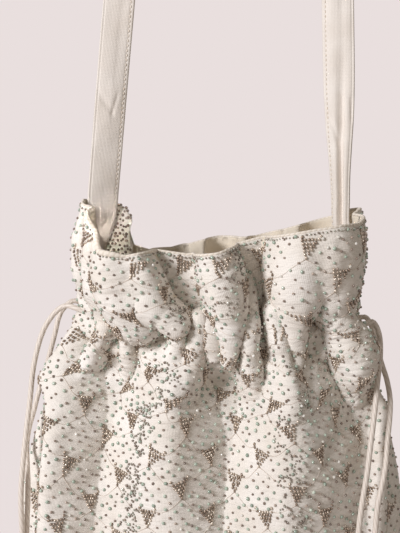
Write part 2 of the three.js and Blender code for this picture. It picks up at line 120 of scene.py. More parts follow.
# The fans of triangles that close both ends of a tube of count rings, with the two tips after it.
def endFans(count, ring):
    here = np.arange(ring)
    after = (here + 1) % ring
    base = (count - 1) * ring
    return np.vstack([
        np.stack([np.full(ring, count * ring), after, here], 1),
        np.stack([np.full(ring, count * ring + 1), base + here, base + after], 1),
    ])


# Directions of length 1.
def unit(v):
    return v / np.maximum(np.linalg.norm(v, axis=-1, keepdims=True), 1e-12)


# A smooth line through points: a centripetal Catmull-Rom curve, perSpan steps between two points.
def smoothLine(points, perSpan=12):
    p = np.asarray(points, float)
    p = np.vstack([2 * p[0] - p[1], p, 2 * p[-1] - p[-2]])
    gap = np.linalg.norm(np.diff(p, axis=0), axis=1, keepdims=True) ** 0.5
    p0, p1, p2, p3 = p[:-3], p[1:-2], p[2:-1], p[3:]
    g0, g1, g2 = gap[:-2], gap[1:-1], gap[2:]
    m1 = ((p1 - p0) / g0 - (p2 - p0) / (g0 + g1) + (p2 - p1) / g1) * g1
    m2 = ((p2 - p1) / g1 - (p3 - p1) / (g1 + g2) + (p3 - p2) / g2) * g1
    t = (np.arange(perSpan) / perSpan)[None, :, None]
    p1, p2, m1, m2 = (v[:, None, :] for v in (p1, p2, m1, m2))
    curve = p1 + m1 * t + (3 * (p2 - p1) - 2 * m1 - m2) * t**2 + (2 * (p1 - p2) + m1 + m2) * t**3
    return np.vstack([curve.reshape(-1, p.shape[1]), p[-2]])


# Running sums along the last axis, from 0.
def runningSum(steps):
    return np.concatenate([np.zeros(steps.shape[:-1] + (1,)), np.cumsum(steps, -1)], -1)


# Length along a line, or along each row of a grid of points.
def lengthAlong(points):
    return runningSum(np.linalg.norm(np.diff(points, axis=-2), axis=-1))


# Mean length down a grid of points to each of its rows.
def lengthDown(grid):
    return runningSum(np.linalg.norm(np.diff(grid, axis=0), axis=-1).mean(1))


# The same line with its points a step apart.
def evenLine(line, step):
    along = lengthAlong(line)
    places = np.linspace(0, along[-1], max(2, round(along[-1] / step) + 1))
    return np.stack([np.interp(places, along, line[:, k]) for k in range(3)], 1)


# Points and faces of a round bar along a line. Each ring stands square to the line, turned by a
# direction that the line never follows, and the ends are rounded and closed.
def roundBar(line, radius, sides, beside, closed=False):
    radius = np.broadcast_to(radius, len(line)).astype(float)
    if closed:
        ahead = unit(np.roll(line, -1, 0) - np.roll(line, 1, 0))
    else:
        ahead = unit(np.gradient(line, axis=0))
        ends = np.array([0.98, 0.8, 0.45])
        lead = np.array([-0.2, 0.35, 0.75])[:, None]
        line = np.vstack([
            line[0] - ahead[0] * radius[0] * lead[::-1],
            line[1:-1],
            line[-1] + ahead[-1] * radius[-1] * lead,
        ])
        ahead = np.vstack([np.repeat(ahead[:1], 3, 0), ahead[1:-1], np.repeat(ahead[-1:], 3, 0)])
        radius = np.concatenate([radius[0] * ends[::-1], radius[1:-1], radius[-1] * ends])
    side = unit(np.cross(ahead, np.broadcast_to(beside, line.shape)))
    other = np.cross(ahead, side)
    turn = 2 * math.pi * np.arange(sides) / sides
    ring = side[:, None] * np.cos(turn)[None, :, None] + other[:, None] * np.sin(turn)[None, :, None]
    points = (line[:, None] + ring * radius[:, None, None]).reshape(-1, 3)
    along = lengthAlong(line)
    count = len(line)
    around = [np.tile(np.cos(turn), count), np.tile(np.sin(turn), count), np.repeat(along, sides)]
    around = np.stack(around, 1)
    if closed:
        return points, [gridFaces(count, sides, ring=True, flip=True, closed=True)], None, around
    quads = gridFaces(count, sides, ring=True, flip=True)
    tips = np.stack([
        line[0] - ahead[0] * radius[1] * 0.25,
        line[-1] + ahead[-1] * radius[-2] * 0.25,
    ])
    around = np.vstack([around, [[0, 0, 0], [0, 0, along[-1]]]])
    return np.vstack([points, tips]), [quads, endFans(count, sides)], None, around


# Several bars as one set of points and faces.
def joinBars(bars):
    points, faces, arounds, start = [], [], [], 0
    for p, fs, _, around in bars:
        points.append(p)
        arounds.append(around)
        faces += [f + start for f in fs]
        start += len(p)
    return np.vstack(points), faces, None, np.vstack(arounds)


# Smooth noise from 0 to 1 over two arrays: random corners of a unit lattice, eased between.
def softNoise(x, y, seed):
    ix, iy = np.floor(x), np.floor(y)
    fx, fy = x - ix, y - iy
    fx, fy = fx * fx * (3 - 2 * fx), fy * fy * (3 - 2 * fy)

    def corner(a, b):
        return np.modf(np.abs(np.sin(a * 127.1 + b * 311.7 + seed * 74.7) * 43758.5453))[0]

    low = corner(ix, iy) * (1 - fx) + corner(ix + 1, iy) * fx
    high = corner(ix, iy + 1) * (1 - fx) + corner(ix + 1, iy + 1) * fx
    return low * (1 - fy) + high * fy


# A smooth step from 0 at start to 1 at end: three times the square less twice the cube.
def ease(x, start, end):
    t = np.clip((x - start) / (end - start), 0, 1)
    return t * t * (3 - 2 * t)


# The pouch: half sizes of the line between its outer cloth and its lining, as width and depth
pouch = {
    "rimHeight": -0.2935,
    "frillHeight": 0.068,
    "bodyHeight": 0.224,
    "bellyDrop": 0.150,
    "rim": (0.0885, 0.034),
    "neck": (0.085, 0.026),
    "belly": (0.126, 0.046),
    "base": (0.106, 0.038),
    "planExponent": 2.4,
    "frillBulge": 0.006,
    "rimSag": 0.029,
    "neckSag": 0.021,
    "sagExponent": 4,
    "endDrop": 0.2892,  # where the lining ends and the sag is gone
}


# Half width, half depth and sag at a drop below the rim, as in the frame: a straight frill with a
# sine swell, then a quarter sine to the belly and a quarter cosine in to the base.
def sectionAt(drop):
    p = pouch
    t = np.clip(drop / p["frillHeight"], 0, 1)
    below = np.clip(drop - p["frillHeight"], 0, p["bodyHeight"])
    down = np.clip(below / p["bellyDrop"], 0, 1)
    lower = np.clip((below - p["bellyDrop"]) / (p["bodyHeight"] - p["bellyDrop"]), 0, 1)
    halves = []
    for k in (0, 1):
        frill = p["rim"][k] * (1 - t) + p["neck"][k] * t
        upper = p["neck"][k] + (p["belly"][k] - p["neck"][k]) * np.sin(math.pi / 2 * down)
        under = p["base"][k] + (p["belly"][k] - p["base"][k]) * np.cos(math.pi / 2 * lower)
        halves.append(np.where(below > 0, np.where(lower > 0, under, upper), frill))
    halves[0] = halves[0] + np.where(below > 0, 0, p["frillBulge"] * np.sin(math.pi * t))
    fade = np.clip(below / (p["endDrop"] - p["frillHeight"]), 0, 1)
    sag = np.where(below > 0, p["neckSag"] * (1 - fade**2), p["rimSag"] * (1 - t) + p["neckSag"] * t)
    return halves[0], halves[1], sag


# Point of the cloth line and its outward direction, at an angle round the pouch from +X over the
# back: a superellipse in plan, lower between the side seams than at them.
def clothLine(angle, drop):
    halfWidth, halfDepth, sag = sectionAt(drop)
    n = pouch["planExponent"]
    across = np.abs(np.cos(angle)) ** (2 / n)
    along = np.abs(np.sin(angle)) ** (2 / n)
    nx = np.sign(np.cos(angle)) * across ** (n - 1) / halfWidth
    ny = np.sign(np.sin(angle)) * along ** (n - 1) / halfDepth
    size = np.hypot(nx, ny)
    point = np.stack([
        np.sign(np.cos(angle)) * halfWidth * across,
        np.sign(np.sin(angle)) * halfDepth * along,
        pouch["rimHeight"] - drop - sag * (1 - across ** pouch["sagExponent"]),
    ], -1)
    return point, np.stack([nx / size, ny / size, np.zeros_like(nx)], -1)


# Point of the pouch at an angle and a drop, a distance out of the cloth line.
def wallPoint(angle, drop, outward):
    point, normal = clothLine(np.asarray(angle, float), np.asarray(drop, float))
    return point + normal * np.asarray(outward)[..., None]


# Drawstrings: two limp cords of rayon, 3.6 mm thick, which leave the channel at the side seams and
# are knotted together below. Each route runs from the channel down to the knot.
cordSet = {
    "diameter": 0.0036,
    "spacing": 0.0048,  # between the two cords in the channel
    "inCavity": 0.0027,
    "exitReach": 0.013,
    "exitAngle": math.radians(10),
    "turnAngle": math.radians(26),
    "drawn": 0.48,  # radius drawn, as a share of the diameter
    "sides": 14,
    "step": 0.0015,
    "fixed": {"left": -0.3585, "right": -0.3632},  # heights where the hanging ends begin to stretch
    "knotted": -0.570,  # and where they go with the knot
}
cordRoutes = {
    "left_front": [
        (-0.1006, -0.0104, -0.3618), (-0.1046, -0.0098, -0.3654), (-0.1086, -0.0092, -0.3708),
        (-0.1108, -0.0092, -0.3747), (-0.1135, -0.0095, -0.3819), (-0.1154, -0.0105, -0.3896),
        (-0.1174, -0.0125, -0.4022), (-0.1184, -0.0155, -0.4210), (-0.1194, -0.0205, -0.4395),
        (-0.1200, -0.0256, -0.4580), (-0.1202, -0.0294, -0.4765), (-0.1194, -0.0312, -0.4900),
        (-0.1184, -0.0316, -0.5050), (-0.1178, -0.0316, -0.5250), (-0.1176, -0.0316, -0.5480),
        (-0.1174, -0.0316, -0.5700),
    ],
    "left_rear": [
        (-0.1002, 0.0104, -0.3626), (-0.1038, 0.0094, -0.3670), (-0.1060, 0.0088, -0.3730),
        (-0.1072, 0.0086, -0.3790), (-0.1090, 0.0092, -0.3866), (-0.1112, 0.0102, -0.3950),
        (-0.1147, 0.0110, -0.4090), (-0.1182, 0.0084, -0.4222), (-0.1202, 0.0030, -0.4340),
        (-0.1212, -0.0055, -0.4430), (-0.1208, -0.0130, -0.4520), (-0.1190, -0.0190, -0.4615),
        (-0.1174, -0.0232, -0.4720), (-0.1168, -0.0256, -0.4830), (-0.1168, -0.0270, -0.4960),
        (-0.1170, -0.0274, -0.5150), (-0.1172, -0.0274, -0.5420), (-0.1172, -0.0274, -0.5700),
    ],
    "right_front": [
        (0.0984, -0.0107, -0.3644), (0.1008, -0.0105, -0.3670), (0.1024, -0.0108, -0.3706),
        (0.1034, -0.0114, -0.3748), (0.1038, -0.0124, -0.3800), (0.1035, -0.0145, -0.3886),
        (0.1019, -0.0182, -0.3984), (0.0994, -0.0248, -0.4173), (0.0964, -0.0314, -0.4357),
        (0.0938, -0.0362, -0.4547), (0.0907, -0.0398, -0.4740), (0.0892, -0.0416, -0.4904),
        (0.0894, -0.0424, -0.5100), (0.0902, -0.0428, -0.5300), (0.0910, -0.0428, -0.5500),
        (0.0912, -0.0428, -0.5700),
    ],
    "right_rear": [
        (0.0986, 0.0099, -0.3648), (0.1018, 0.0082, -0.3692), (0.1036, 0.0060, -0.3756),
        (0.1058, 0.0030, -0.3846), (0.1082, -0.0010, -0.3937), (0.1108, -0.0058, -0.4031),
        (0.1120, -0.0115, -0.4141), (0.1108, -0.0174, -0.4246), (0.1084, -0.0240, -0.4377),
        (0.1067, -0.0295, -0.4516), (0.1038, -0.0340, -0.4635), (0.1010, -0.0374, -0.4750),
        (0.0998, -0.0398, -0.4907), (0.0980, -0.0414, -0.5100), (0.0962, -0.0424, -0.5300),
        (0.0954, -0.0428, -0.5500), (0.0952, -0.0428, -0.5700),
    ],
}


# The free front end, the stretch in the channel and the free rear end of one cord, as lines.
def cordLines(seamAngle, cordDrop, frontRoute, rearRoute):
    c = cordSet
    frontWay = -1 if seamAngle == 0 else 1
    share = np.linspace(0, 1, 4)
    reach = c["exitReach"] + (c["inCavity"] - c["exitReach"]) * (1 - (1 - share) ** 1.6)
    turn = c["exitAngle"] + (c["turnAngle"] - c["exitAngle"]) * share
    leaving = [wallPoint(seamAngle + way * turn, cordDrop, reach) for way in (frontWay, -frontWay)]
    around = c["turnAngle"] + (2 * math.pi - 2 * c["turnAngle"]) * np.arange(1, 40) / 40
    held = wallPoint(seamAngle + frontWay * around, cordDrop, c["inCavity"])
    perSpan = 12
    points = np.vstack([frontRoute[::-1], leaving[0], held, leaving[1][::-1], rearRoute])
    line = smoothLine(points, perSpan)
    enters = len(frontRoute) * perSpan
    leaves = (len(points) - 1 - len(rearRoute)) * perSpan
    return line[: enters + 1], line[enters : leaves + 1], line[leaves:]


# A cord along a line, a little thinner than its measure because its strands are drawn on it.
def addCord(name, line, beside):
    c = cordSet
    bar = roundBar(evenLine(line, c["step"]), c["diameter"] * c["drawn"], c["sides"], beside)
    return addMesh(name, *bar)


cordPieces = {}
for side, seamAngle, sign in (("left", math.pi, -1), ("right", 0, 1)):
    lines = cordLines(
        seamAngle,
        pouch["frillHeight"] + sign * cordSet["spacing"] / 2,
        np.array(cordRoutes[side + "_front"]),
        np.array(cordRoutes[side + "_rear"]),
    )
    besides = ((0, 1, 0), (0, 0, 1), (0, 1, 0))
    for part, line, beside in zip(("front", "held", "rear"), lines, besides):
        line = line[::-1] if part == "front" else line
        name = f"{side}_drawstring_{part}"
        cordPieces[name] = addCord(name, line, beside)

# Folds of the cloth. A fold is a ridge along a path: x, height, width to its left and right,
# and rise off the cloth line, all in millimetres. Its edge is the steeper the smaller the power.
frontFrillFolds = [
    ("left side", 0.7, [(-86, -298, 7, 6, 4), (-87, -322, 8, 7, 7), (-87, -340, 6, 5, 7),
                        (-86, -352, 5, 4, 4)]),
    ("left ridge", 0.55, [(-79, -298, 5, 6, 7), (-75, -316, 6, 8, 12), (-75, -337, 6, 7, 14),
                          (-73, -352, 5, 6, 14), (-69, -362, 5, 6, 12), (-66, -372, 4, 6, 11)]),
    ("left puff", 0.6, [(-62, -300, 12, 14, 16), (-62, -322, 13, 14, 22), (-61, -338, 14, 16, 24),
                        (-57, -350, 15, 18, 24), (-50, -361, 15, 18, 22)]),
    ("puff shoulder", 0.5, [(-50, -300, 12, 8, 13), (-49, -318, 13, 8, 18), (-46, -332, 13, 8, 20),
                            (-43, -342, 14, 8, 21), (-38, -352, 12, 8, 20)]),
    ("nose", 0.55, [(-41, -353, 8, 8, 22), (-33, -358, 8, 8, 22), (-24, -363, 7, 6, 21)]),
    ("middle lobe", 0.55, [(-8, -300, 12, 13, 21), (-6, -316, 12, 12, 23), (-2, -330, 12, 13, 24),
                           (2, -348, 11, 12, 24), (5, -360, 9, 11, 22), (7, -370, 7, 7, 19),
                           (6, -384, 5, 5, 17)]),
    ("middle slope", 0.8, [(15, -344, 5, 5, 3), (17, -356, 5, 5, 9), (18, -368, 6, 6, 13),
                           (18, -376, 6, 6, 13)]),
    ("finger", 0.5, [(-6, -360, 4, 5, 11), (-5, -369, 5, 5, 15), (-3, -382, 5, 5, 14)]),
    ("right lobe", 0.6, [(46, -294, 21, 27, 18), (46, -318, 20, 27, 24), (46, -332, 19, 27, 26),
                         (45, -342, 17, 22, 26), (44, -352, 13, 13, 24), (44, -361, 9, 9, 20),
                         (45, -372, 7, 7, 17), (46, -384, 6, 6, 16)]),
    ("right shoulder", 0.75, [(63, -294, 24, 21, 22), (64, -316, 24, 21, 27), (65, -332, 23, 19, 27),
                              (68, -347, 16, 13, 21)]),
    ("right side", 0.6, [(75, -292, 18, 11, 17), (75, -318, 18, 11, 21), (75, -336, 14, 10, 21),
                         (75, -352, 8, 8, 17)]),
]
frontBodyFolds = [
    ("edge fold", 0.8, [(-88, -366, 6, 6, 7), (-92, -384, 8, 12, 12), (-95, -402, 9, 26, 15),
                        (-98, -425, 10, 34, 16), (-101, -450, 11, 34, 16), (-103, -475, 12, 34, 15),
                        (-105, -530, 12, 32, 8)]),
    ("left gather", 0.6, [(-67, -368, 4.5, 4, 15), (-68, -376, 5.5, 4.5, 16), (-74, -386, 8, 6, 13),
                          (-82, -398, 9, 8, 9), (-88, -412, 10, 9, 4)]),
    ("small gather", 0.5, [(-56, -368, 3.5, 4, 12), (-55, -380, 4, 4, 13), (-55, -392, 6, 6, 8),
                           (-57, -404, 7, 7, 2)]),
    ("left fold", 0.7, [(-26, -362, 5, 5, 14), (-25, -376, 5, 6, 16), (-26, -386, 9, 8, 17),
                        (-27, -397, 22, 14, 17), (-28, -410, 28, 22, 17), (-28, -425, 35, 32, 16),
                        (-28, -446, 42, 36, 14.5), (-27, -472, 45, 37, 12), (-25, -535, 47, 36, 7)]),
    ("cone", 0.55, [(-12, -364, 5, 5, 14), (-13, -376, 6, 6, 15), (-16, -388, 9, 9, 17),
                    (-19, -398, 14, 12, 17), (-22, -408, 16, 13, 14), (-25, -420, 14, 12, 6)]),
    ("middle gather", 0.6, [(17, -364, 6, 6, 14), (18, -380, 6, 6, 16), (20, -391, 8, 8, 16),
                            (23, -404, 10, 10, 12), (28, -416, 12, 12, 6)]),
    ("right fold", 0.7, [(33, -360, 5, 5, 13), (36, -376, 6, 6, 18), (40, -388, 10, 8, 19),
                         (43, -400, 20, 11, 19), (44, -416, 30, 36, 18), (45, -445, 36, 52, 17),
                         (45, -472, 40, 54, 15), (43, -540, 44, 50, 7)]),
    ("right gather", 0.65, [(64, -358, 5, 7, 15), (74, -366, 11, 12, 21), (80, -378, 15, 14, 23),
                            (84, -392, 14, 15, 19), (88, -408, 12, 15, 8)]),
    ("right edge fold", 0.8, [(98, -405, 9, 10, 5), (104, -430, 9, 10, 7), (107, -460, 10, 11, 7),
                              (108, -530, 12, 12, 3)]),
]


# The back has folds of the same kind, worked out: lobes on the frill, each drawn in to a gather,
# and folds that widen down the body from the gathers between them.
def backFolds():
    draw = np.random.default_rng(7)
    frill, body = [], []
    for x in np.linspace(-66, 66, 5):
        x = x + draw.uniform(-3, 3)
        lean = draw.uniform(-5, 5)
        rise = draw.uniform(15, 20)
        half = draw.uniform(11, 14)
        frill.append(("lobe", 0.6, [
            (x - lean, -292, half, half, rise - 3), (x, -325, half, half, rise),
            (x + lean * 0.5, -345, half * 0.8, half * 0.8, rise), (x + lean, -362, 8, 8, rise - 2),
            (x + lean, -378, 6, 6, 14),
        ]))
    for x in np.linspace(-78, 78, 10):
        x = x + draw.uniform(-2.5, 2.5)
        spread = draw.uniform(0.12, 0.3)
        rise = draw.uniform(12, 16)
        half = draw.uniform(10, 16)
        end = draw.uniform(-520, -450)
        body.append(("gather", 0.65, [
            (x, -362, 4.5, 4.5, rise - 1), (x, -378, 5, 5, rise),
            (x * (1 + spread / 3), -396, half * 0.7, half * 0.7, rise - 1),
            (x * (1 + spread), -430, half, half, rise * 0.6),
            (x * (1 + spread), end, half * 1.3, half * 1.3, 1),
        ]))
    return frill, body


backFrillFolds, backBodyFolds = backFolds()

# Height of the rim along the cloth, x and height in millimetres
frontRim = [
    (-88.5, -293), (-80, -301), (-72, -313), (-66, -323), (-53, -325), (-41, -322), (-21, -324),
    (-3, -321), (8, -317), (21, -313), (36, -309), (48, -306), (65, -303), (76, -302), (88.5, -293),
]
backRim = [
    (-88.5, -293), (-74, -297), (-66, -299), (-61.5, -304), (-59.5, -312), (-58.5, -323), (-48, -326),
    (-32, -325), (-24, -322), (-11, -318), (0, -316), (25, -315), (54, -306), (66, -301), (77, -297),
    (88.5, -293),
]

# What sets the two panels apart: angle of the first column, way out, folds, rim and seed of the trim
panelSet = {
    "front": {"start": math.pi, "way": -1, "frill": frontFrillFolds, "body": frontBodyFolds,
              "rim": frontRim, "seed": 11},
    "back": {"start": 0, "way": 1, "frill": backFrillFolds, "body": backBodyFolds,
             "rim": backRim, "seed": 23},
}
clothSet = {
    "rows": 271,
    "columns": 301,
    "rowDrops": [0, 0.06, 0.115, 0.16, 0.291],  # the rows lie close together where folds are tight
    "rowShares": [0, 0.24, 0.58, 0.74, 1],
    "channelHalf": 0.0065,
    "channelRoom": 0.0048,  # rise of the cloth over the cords
    "bare": 0.0012,  # and away from them
    "power": 5,  # of the sum that joins the folds
    "roofFrom": (0.388, 0.425),  # where the round folds turn to roofs, below the origin
    "roofTop": 0.03,  # how rounded the top of such a roof is
    "valley": -0.0090,  # how far the valleys of the folds lie inside the cloth line
    "valleyEnd": 0.285,  # drop at which they have run out
    "forward": 0.7,  # how far the body's folds stand to the front or back and not sideways
    "forwardFrom": (0.075, 0.125),  # drops between which they turn so
    "forwardRight": (0.045, 0.070),  # and places where the right of the front's frill does
    "swell": (0.0030, 0.0012),  # how far the folds of frill and body lean out over their feet
    "droop": 0.25,  # how far the frill hangs down, as a share of its rise
    "seamFade": 0.012,
    "seamGap": 0.00015,
    "smooth": 5,  # rows over which the places of the columns are evened out
    "coarse": 3,  # the hidden face has every third row and column
    # wrinkles: width, height, length over which they climb one height, shift and depth
    "wrinkles": [
        (0.014, 0.020, math.inf, 40, 0.0022), (0.009, 0.0042, 0.05, 9, 0.0012),
        (0.0035, 0.017, math.inf, 70, 0.0016), (0.005, 0.0025, 0.03, 0, 0.0007),
    ],
    "gathered": 3,  # number of the wrinkles that lie only near the channel
}


# Length along each row of a panel from its first column, and to the nearer side seam.
def seamLengths(point):
    along = lengthAlong(point[..., :2])
    return along, np.minimum(along, along[:, -1:] - along)


# Rise of the folds over the cloth line. Each ridge is a dome across its path, the power of one
# minus the square of the distance over its width, lower down a roof with a rounded top, whose
# sides fall evenly, and a high power sum joins them.
def foldRise(along, height, folds):
    power, top = clothSet["power"], clothSet["roofTop"]
    roofShare = ease(-height, *clothSet["roofFrom"])
    total = np.zeros_like(along)
    fine = np.linspace(math.pi, 2 * math.pi, 801)
    for _, edge, path in folds:
        path = smoothLine(np.array(path, float) * mm, 4)
        drops = np.clip(pouch["rimHeight"] - path[:, 1] - 0.02, 0, None)
        halfWidth = sectionAt(drops)[0]
        reach = np.clip(path[:, 0], -halfWidth, halfWidth)
        line, _ = clothLine(fine, drops[:, None] + 0 * fine)
        lengths = lengthAlong(line[..., :2])
        lengths = lengths - lengths[:, -1:] / 2
        place = np.array([np.interp(r, x, t) for r, x, t in zip(reach, line[..., 0], lengths)])
        ridge = np.zeros_like(along)
        for k in range(len(path) - 1):
            ds, dz = place[k + 1] - place[k], path[k + 1, 1] - path[k, 1]
            onward = (along - place[k]) * ds + (height - path[k, 1]) * dz
            t = np.clip(onward / (ds * ds + dz * dz), 0, 1)
            off = along - place[k] - t * ds
            far = np.hypot(off, height - path[k, 1] - t * dz)
            left, right, rise = (path[k, i] + (path[k + 1, i] - path[k, i]) * t for i in (2, 3, 4))
            share = np.clip(far / np.where(off < 0, left, right), 0, 1)
            dome = (1 - share**2) ** edge
            roof = 1 - (np.sqrt(share**2 + top) - top**0.5) / ((1 + top) ** 0.5 - top**0.5)
            ridge = np.maximum(ridge, rise * (dome + (roof - dome) * roofShare))
        total += (ridge / mm) ** power
    return total ** (1 / power) * mm


# The way a fold rises: out of the cloth line, and on the body and the right of the front's frill
# turned to the front or back, less and less towards the side seams.
def foldDirection(side, point, normal, drops):
    _, seam = seamLengths(point)
    c = clothSet
    right = ease(point[..., 0], *c["forwardRight"]) * (side == "front")
    turned = c["forward"] * np.maximum(ease(drops, *c["forwardFrom"]), right) * ease(seam, 0.002, 0.030)
    forward = np.array([0, panelSet[side]["way"], 0])
    return unit(normal * (1 - turned)[..., None] + forward * turned[..., None])


# One panel's surface. Its columns lie at equal steps of cloth length across the folds, smoothed
# from row to row, so that the cloth keeps its width as real cloth does.
def panelShape(side):
    c = clothSet
    start = panelSet[side]["start"]
    fine = np.linspace(start, start + math.pi, 1001)
    drops = np.interp(np.linspace(0, 1, c["rows"]), c["rowShares"], c["rowDrops"])
    angle, drop = np.meshgrid(fine, drops)
    rise, _, _ = panelRise(side, angle, drop)
    point, normal = clothLine(angle, drop)
    place = point + foldDirection(side, point, normal, drop) * rise[..., None]
    step = np.linalg.norm(np.diff(place, axis=1), axis=-1)
    around = 12
    kernel = np.exp(-0.5 * (np.arange(-around, around + 1) / c["smooth"]) ** 2)
    kernel /= kernel.sum()
    padded = np.pad(step, ((around, around), (0, 0)), mode="edge")
    along = runningSum(sum(k * padded[i : i + len(drops)] for i, k in enumerate(kernel)))
    share = np.linspace(0, 1, c["columns"])
    angles = np.array([np.interp(share * a[-1], a, fine) for a in along])
    return angles, np.repeat(drops[:, None], c["columns"], 1)


# Rise of a panel's outer cloth at an angle and a drop, the part of it that the frill makes, and
# the rise without its wrinkles.
def panelRise(side, angle, drop):
    c = clothSet
    power = c["power"]
    point, _ = clothLine(angle, drop)
    along, seam = seamLengths(point)
    along = (along - along[:, -1:] / 2) * -panelSet[side]["way"]
    height = point[..., 2]
    frill = foldRise(along, height, panelSet[side]["frill"])
    body = foldRise(along, height, panelSet[side]["body"])
    beside = np.abs(drop - pouch["frillHeight"]) - c["channelHalf"]
    floor = c["bare"] + (c["channelRoom"] - c["bare"]) * (1 - ease(beside, 0, 0.008))
    rise = ((frill / mm) ** power + (body / mm) ** power + (floor / mm) ** power) ** (1 / power) * mm
    rise = floor + (rise - floor) * ease(seam, 0, c["seamFade"])
    onFrill = drop < pouch["frillHeight"]
    depth = ease(beside, 0.001, 0.015) * ease(c["valleyEnd"] - drop, 0, 0.05) * ease(seam, 0, 0.03)
    sunk = c["valley"] * depth * (1 - 0.4 * onFrill)
    high = np.where(onFrill, ease(rise - floor, 0, 0.009), np.clip((rise - floor) / 0.017, 0, 1))
    rise = rise + sunk * (1 - high)
    near = np.exp(-np.abs(drop - pouch["frillHeight"]) / 0.02)
    wrinkle = 0
    for number, (wide, tall, climb, shift, deep) in enumerate(c["wrinkles"], 1):
        noise = softNoise(along / wide + shift, height / tall + along / climb, number) - 0.5
        wrinkle = wrinkle + noise * deep * (near if number == c["gathered"] else 1)
    wrinkle = wrinkle * ease(seam, 0, 0.01) * ease(drop, 0, 0.006)
    return rise + wrinkle, frill * ease(seam, 0, c["seamFade"]), rise


# Where the rim of a panel lies against the frame's own rim, fading to nothing at the channel.
def rimShift(side, point, drop):
    rim = np.array(panelSet[side]["rim"], float) * mm
    half = np.abs(point[:1, [0, -1], 0]).max()
    wanted = np.interp(point[..., 0] / half * rim[-1, 0], rim[:, 0], rim[:, 1])
    across = np.clip(np.abs(point[..., 0]) / pouch["rim"][0], 0, 1)
    own = pouch["rimHeight"] - pouch["rimSag"] * (1 - across ** pouch["sagExponent"])
    return (wanted - own) * (1 - ease(drop, 0, pouch["frillHeight"] * 0.9))


# How far the flank of a fold leans out over its foot: the slope of the rise, downhill, up to the
# set swell, so that lobes hang over the valleys beside and below them.
def leanOut(point, normal, rise, drops):
    along, seam = seamLengths(point)
    down = -np.gradient(point[..., 2], axis=0)
    acrossSlope = np.gradient(rise, axis=1) / np.gradient(along, axis=1)
    downSlope = np.gradient(rise, axis=0) / np.maximum(down, 0.0003)
    size = np.sqrt(1 + acrossSlope**2 + downSlope**2)
    frillSwell, bodySwell = clothSet["swell"]
    swell = bodySwell + (frillSwell - bodySwell) * (1 - ease(drops, 0.045, 0.075))
    swell = swell * ease(drops, 0, 0.02) * ease(clothSet["valleyEnd"] - drops, 0, 0.06)
    swell = swell * ease(seam, 0.004, 0.02)
    sideways = np.stack([-normal[..., 1], normal[..., 0], 0 * rise], -1)
    shift = -sideways * (acrossSlope / size * swell)[..., None]
    shift[..., 2] += downSlope / size * swell
    return shift


# The outer face of a panel and the faces nested in it, each a grid of points.
def panelLayers(side, angles, drops):
    rise, frill, plainRise = panelRise(side, angles, drops)
    point, normal = clothLine(angles, drops)
    point[..., 2] += rimShift(side, point, drops)
    point[..., 2] -= frill * clothSet["droop"] * ease(drops, 0.02, 0.06)
    direction = foldDirection(side, point, normal, drops)
    point += leanOut(point, normal, plainRise, drops)

    def layer(offset):
        made = point + direction * offset[..., None]
        made[:, [0, -1], 1] = clothSet["seamGap"] * panelSet[side]["way"]
        return made

    thick = 0.001 + 0.0008 * ease(drops, 0.015, 0.03)
    inChannel = ease(drops, 0.03, pouch["frillHeight"] - 0.012) * (1 - ease(drops, 0.084, 0.12))
    below = rise - thick - 0.0005
    lining = np.minimum(below * (1 - inChannel) - 0.0003 * inChannel, below)
    return layer(rise), layer(rise - thick), layer(lining), layer(lining - 0.0008)


# A closed cloth from an outer grid and an inner one: the inner is thinned by coarse, and fans of
# triangles join their borders.
def clothShell(outer, inner, coarse, uv):
    rows, columns = outer.shape[:2]
    thin = inner[::coarse, ::coarse]
    thinUv = uv[::coarse, ::coarse]
    thinRows, thinColumns = thin.shape[:2]
    start = rows * columns

    def border(outerIds, innerIds):
        k = np.arange(len(innerIds) - 1)
        fan = []
        for i in range(coarse):
            a, b = outerIds[k * coarse + i], outerIds[k * coarse + i + 1]
            hub = innerIds[k] if i < (coarse + 1) // 2 else innerIds[k + 1]
            fan.append(np.stack([a, b, hub], 1))
        middle = outerIds[k * coarse + (coarse + 1) // 2]
        fan.append(np.stack([middle, innerIds[k + 1], innerIds[k]], 1))
        return np.vstack(fan)

    grid = np.arange(rows * columns).reshape(rows, columns)
    thinGrid = start + np.arange(thinRows * thinColumns).reshape(thinRows, thinColumns)
    faces = [
        gridFaces(rows, columns),
        gridFaces(thinRows, thinColumns, start, flip=True),
        border(grid[0], thinGrid[0]),
        border(grid[-1, ::-1], thinGrid[-1, ::-1]),
        border(grid[::-1, 0], thinGrid[::-1, 0]),
        border(grid[:, -1], thinGrid[:, -1]),
    ]
    points = np.vstack([outer.reshape(-1, 3), thin.reshape(-1, 3)])
    return points, faces, np.vstack([uv.reshape(-1, 2), thinUv.reshape(-1, 2)])


# Unit normals of a grid of points, out of the cloth.
def gridNormals(grid):
    return unit(np.cross(np.gradient(grid, axis=0), np.gradient(grid, axis=1)))


panels = {}
for side in panelSet:
    angles, drops = panelShape(side)
    outer, inner, lining, liningInner = panelLayers(side, angles, drops)
    across = np.linalg.norm(np.diff(outer, axis=1), axis=-1).sum(1).mean()
    down = lengthDown(outer)
    uv = np.stack(np.meshgrid(np.linspace(-across / 2, across / 2, outer.shape[1]), down), -1)
    coarse = clothSet["coarse"]
    shell = clothShell(outer, inner, coarse, uv)
    liningShell = clothShell(liningInner[::2, ::-2], lining[::2, ::-2], coarse, uv[::2, ::-2])
    panels[side] = {
        "outer": outer, "lining": lining, "uv": uv, "normals": gridNormals(outer),
        "wide": across / 2, "tall": down[-1], "drops": drops[:, 0],
        "cloth": addMesh(f"outer_{side}_cloth", *shell),
        "inside": addMesh(f"lining_{side}_cloth", *liningShell),
    }
    print(side, "cloth", round(across / mm), "x", round(down[-1] / mm), "mm")


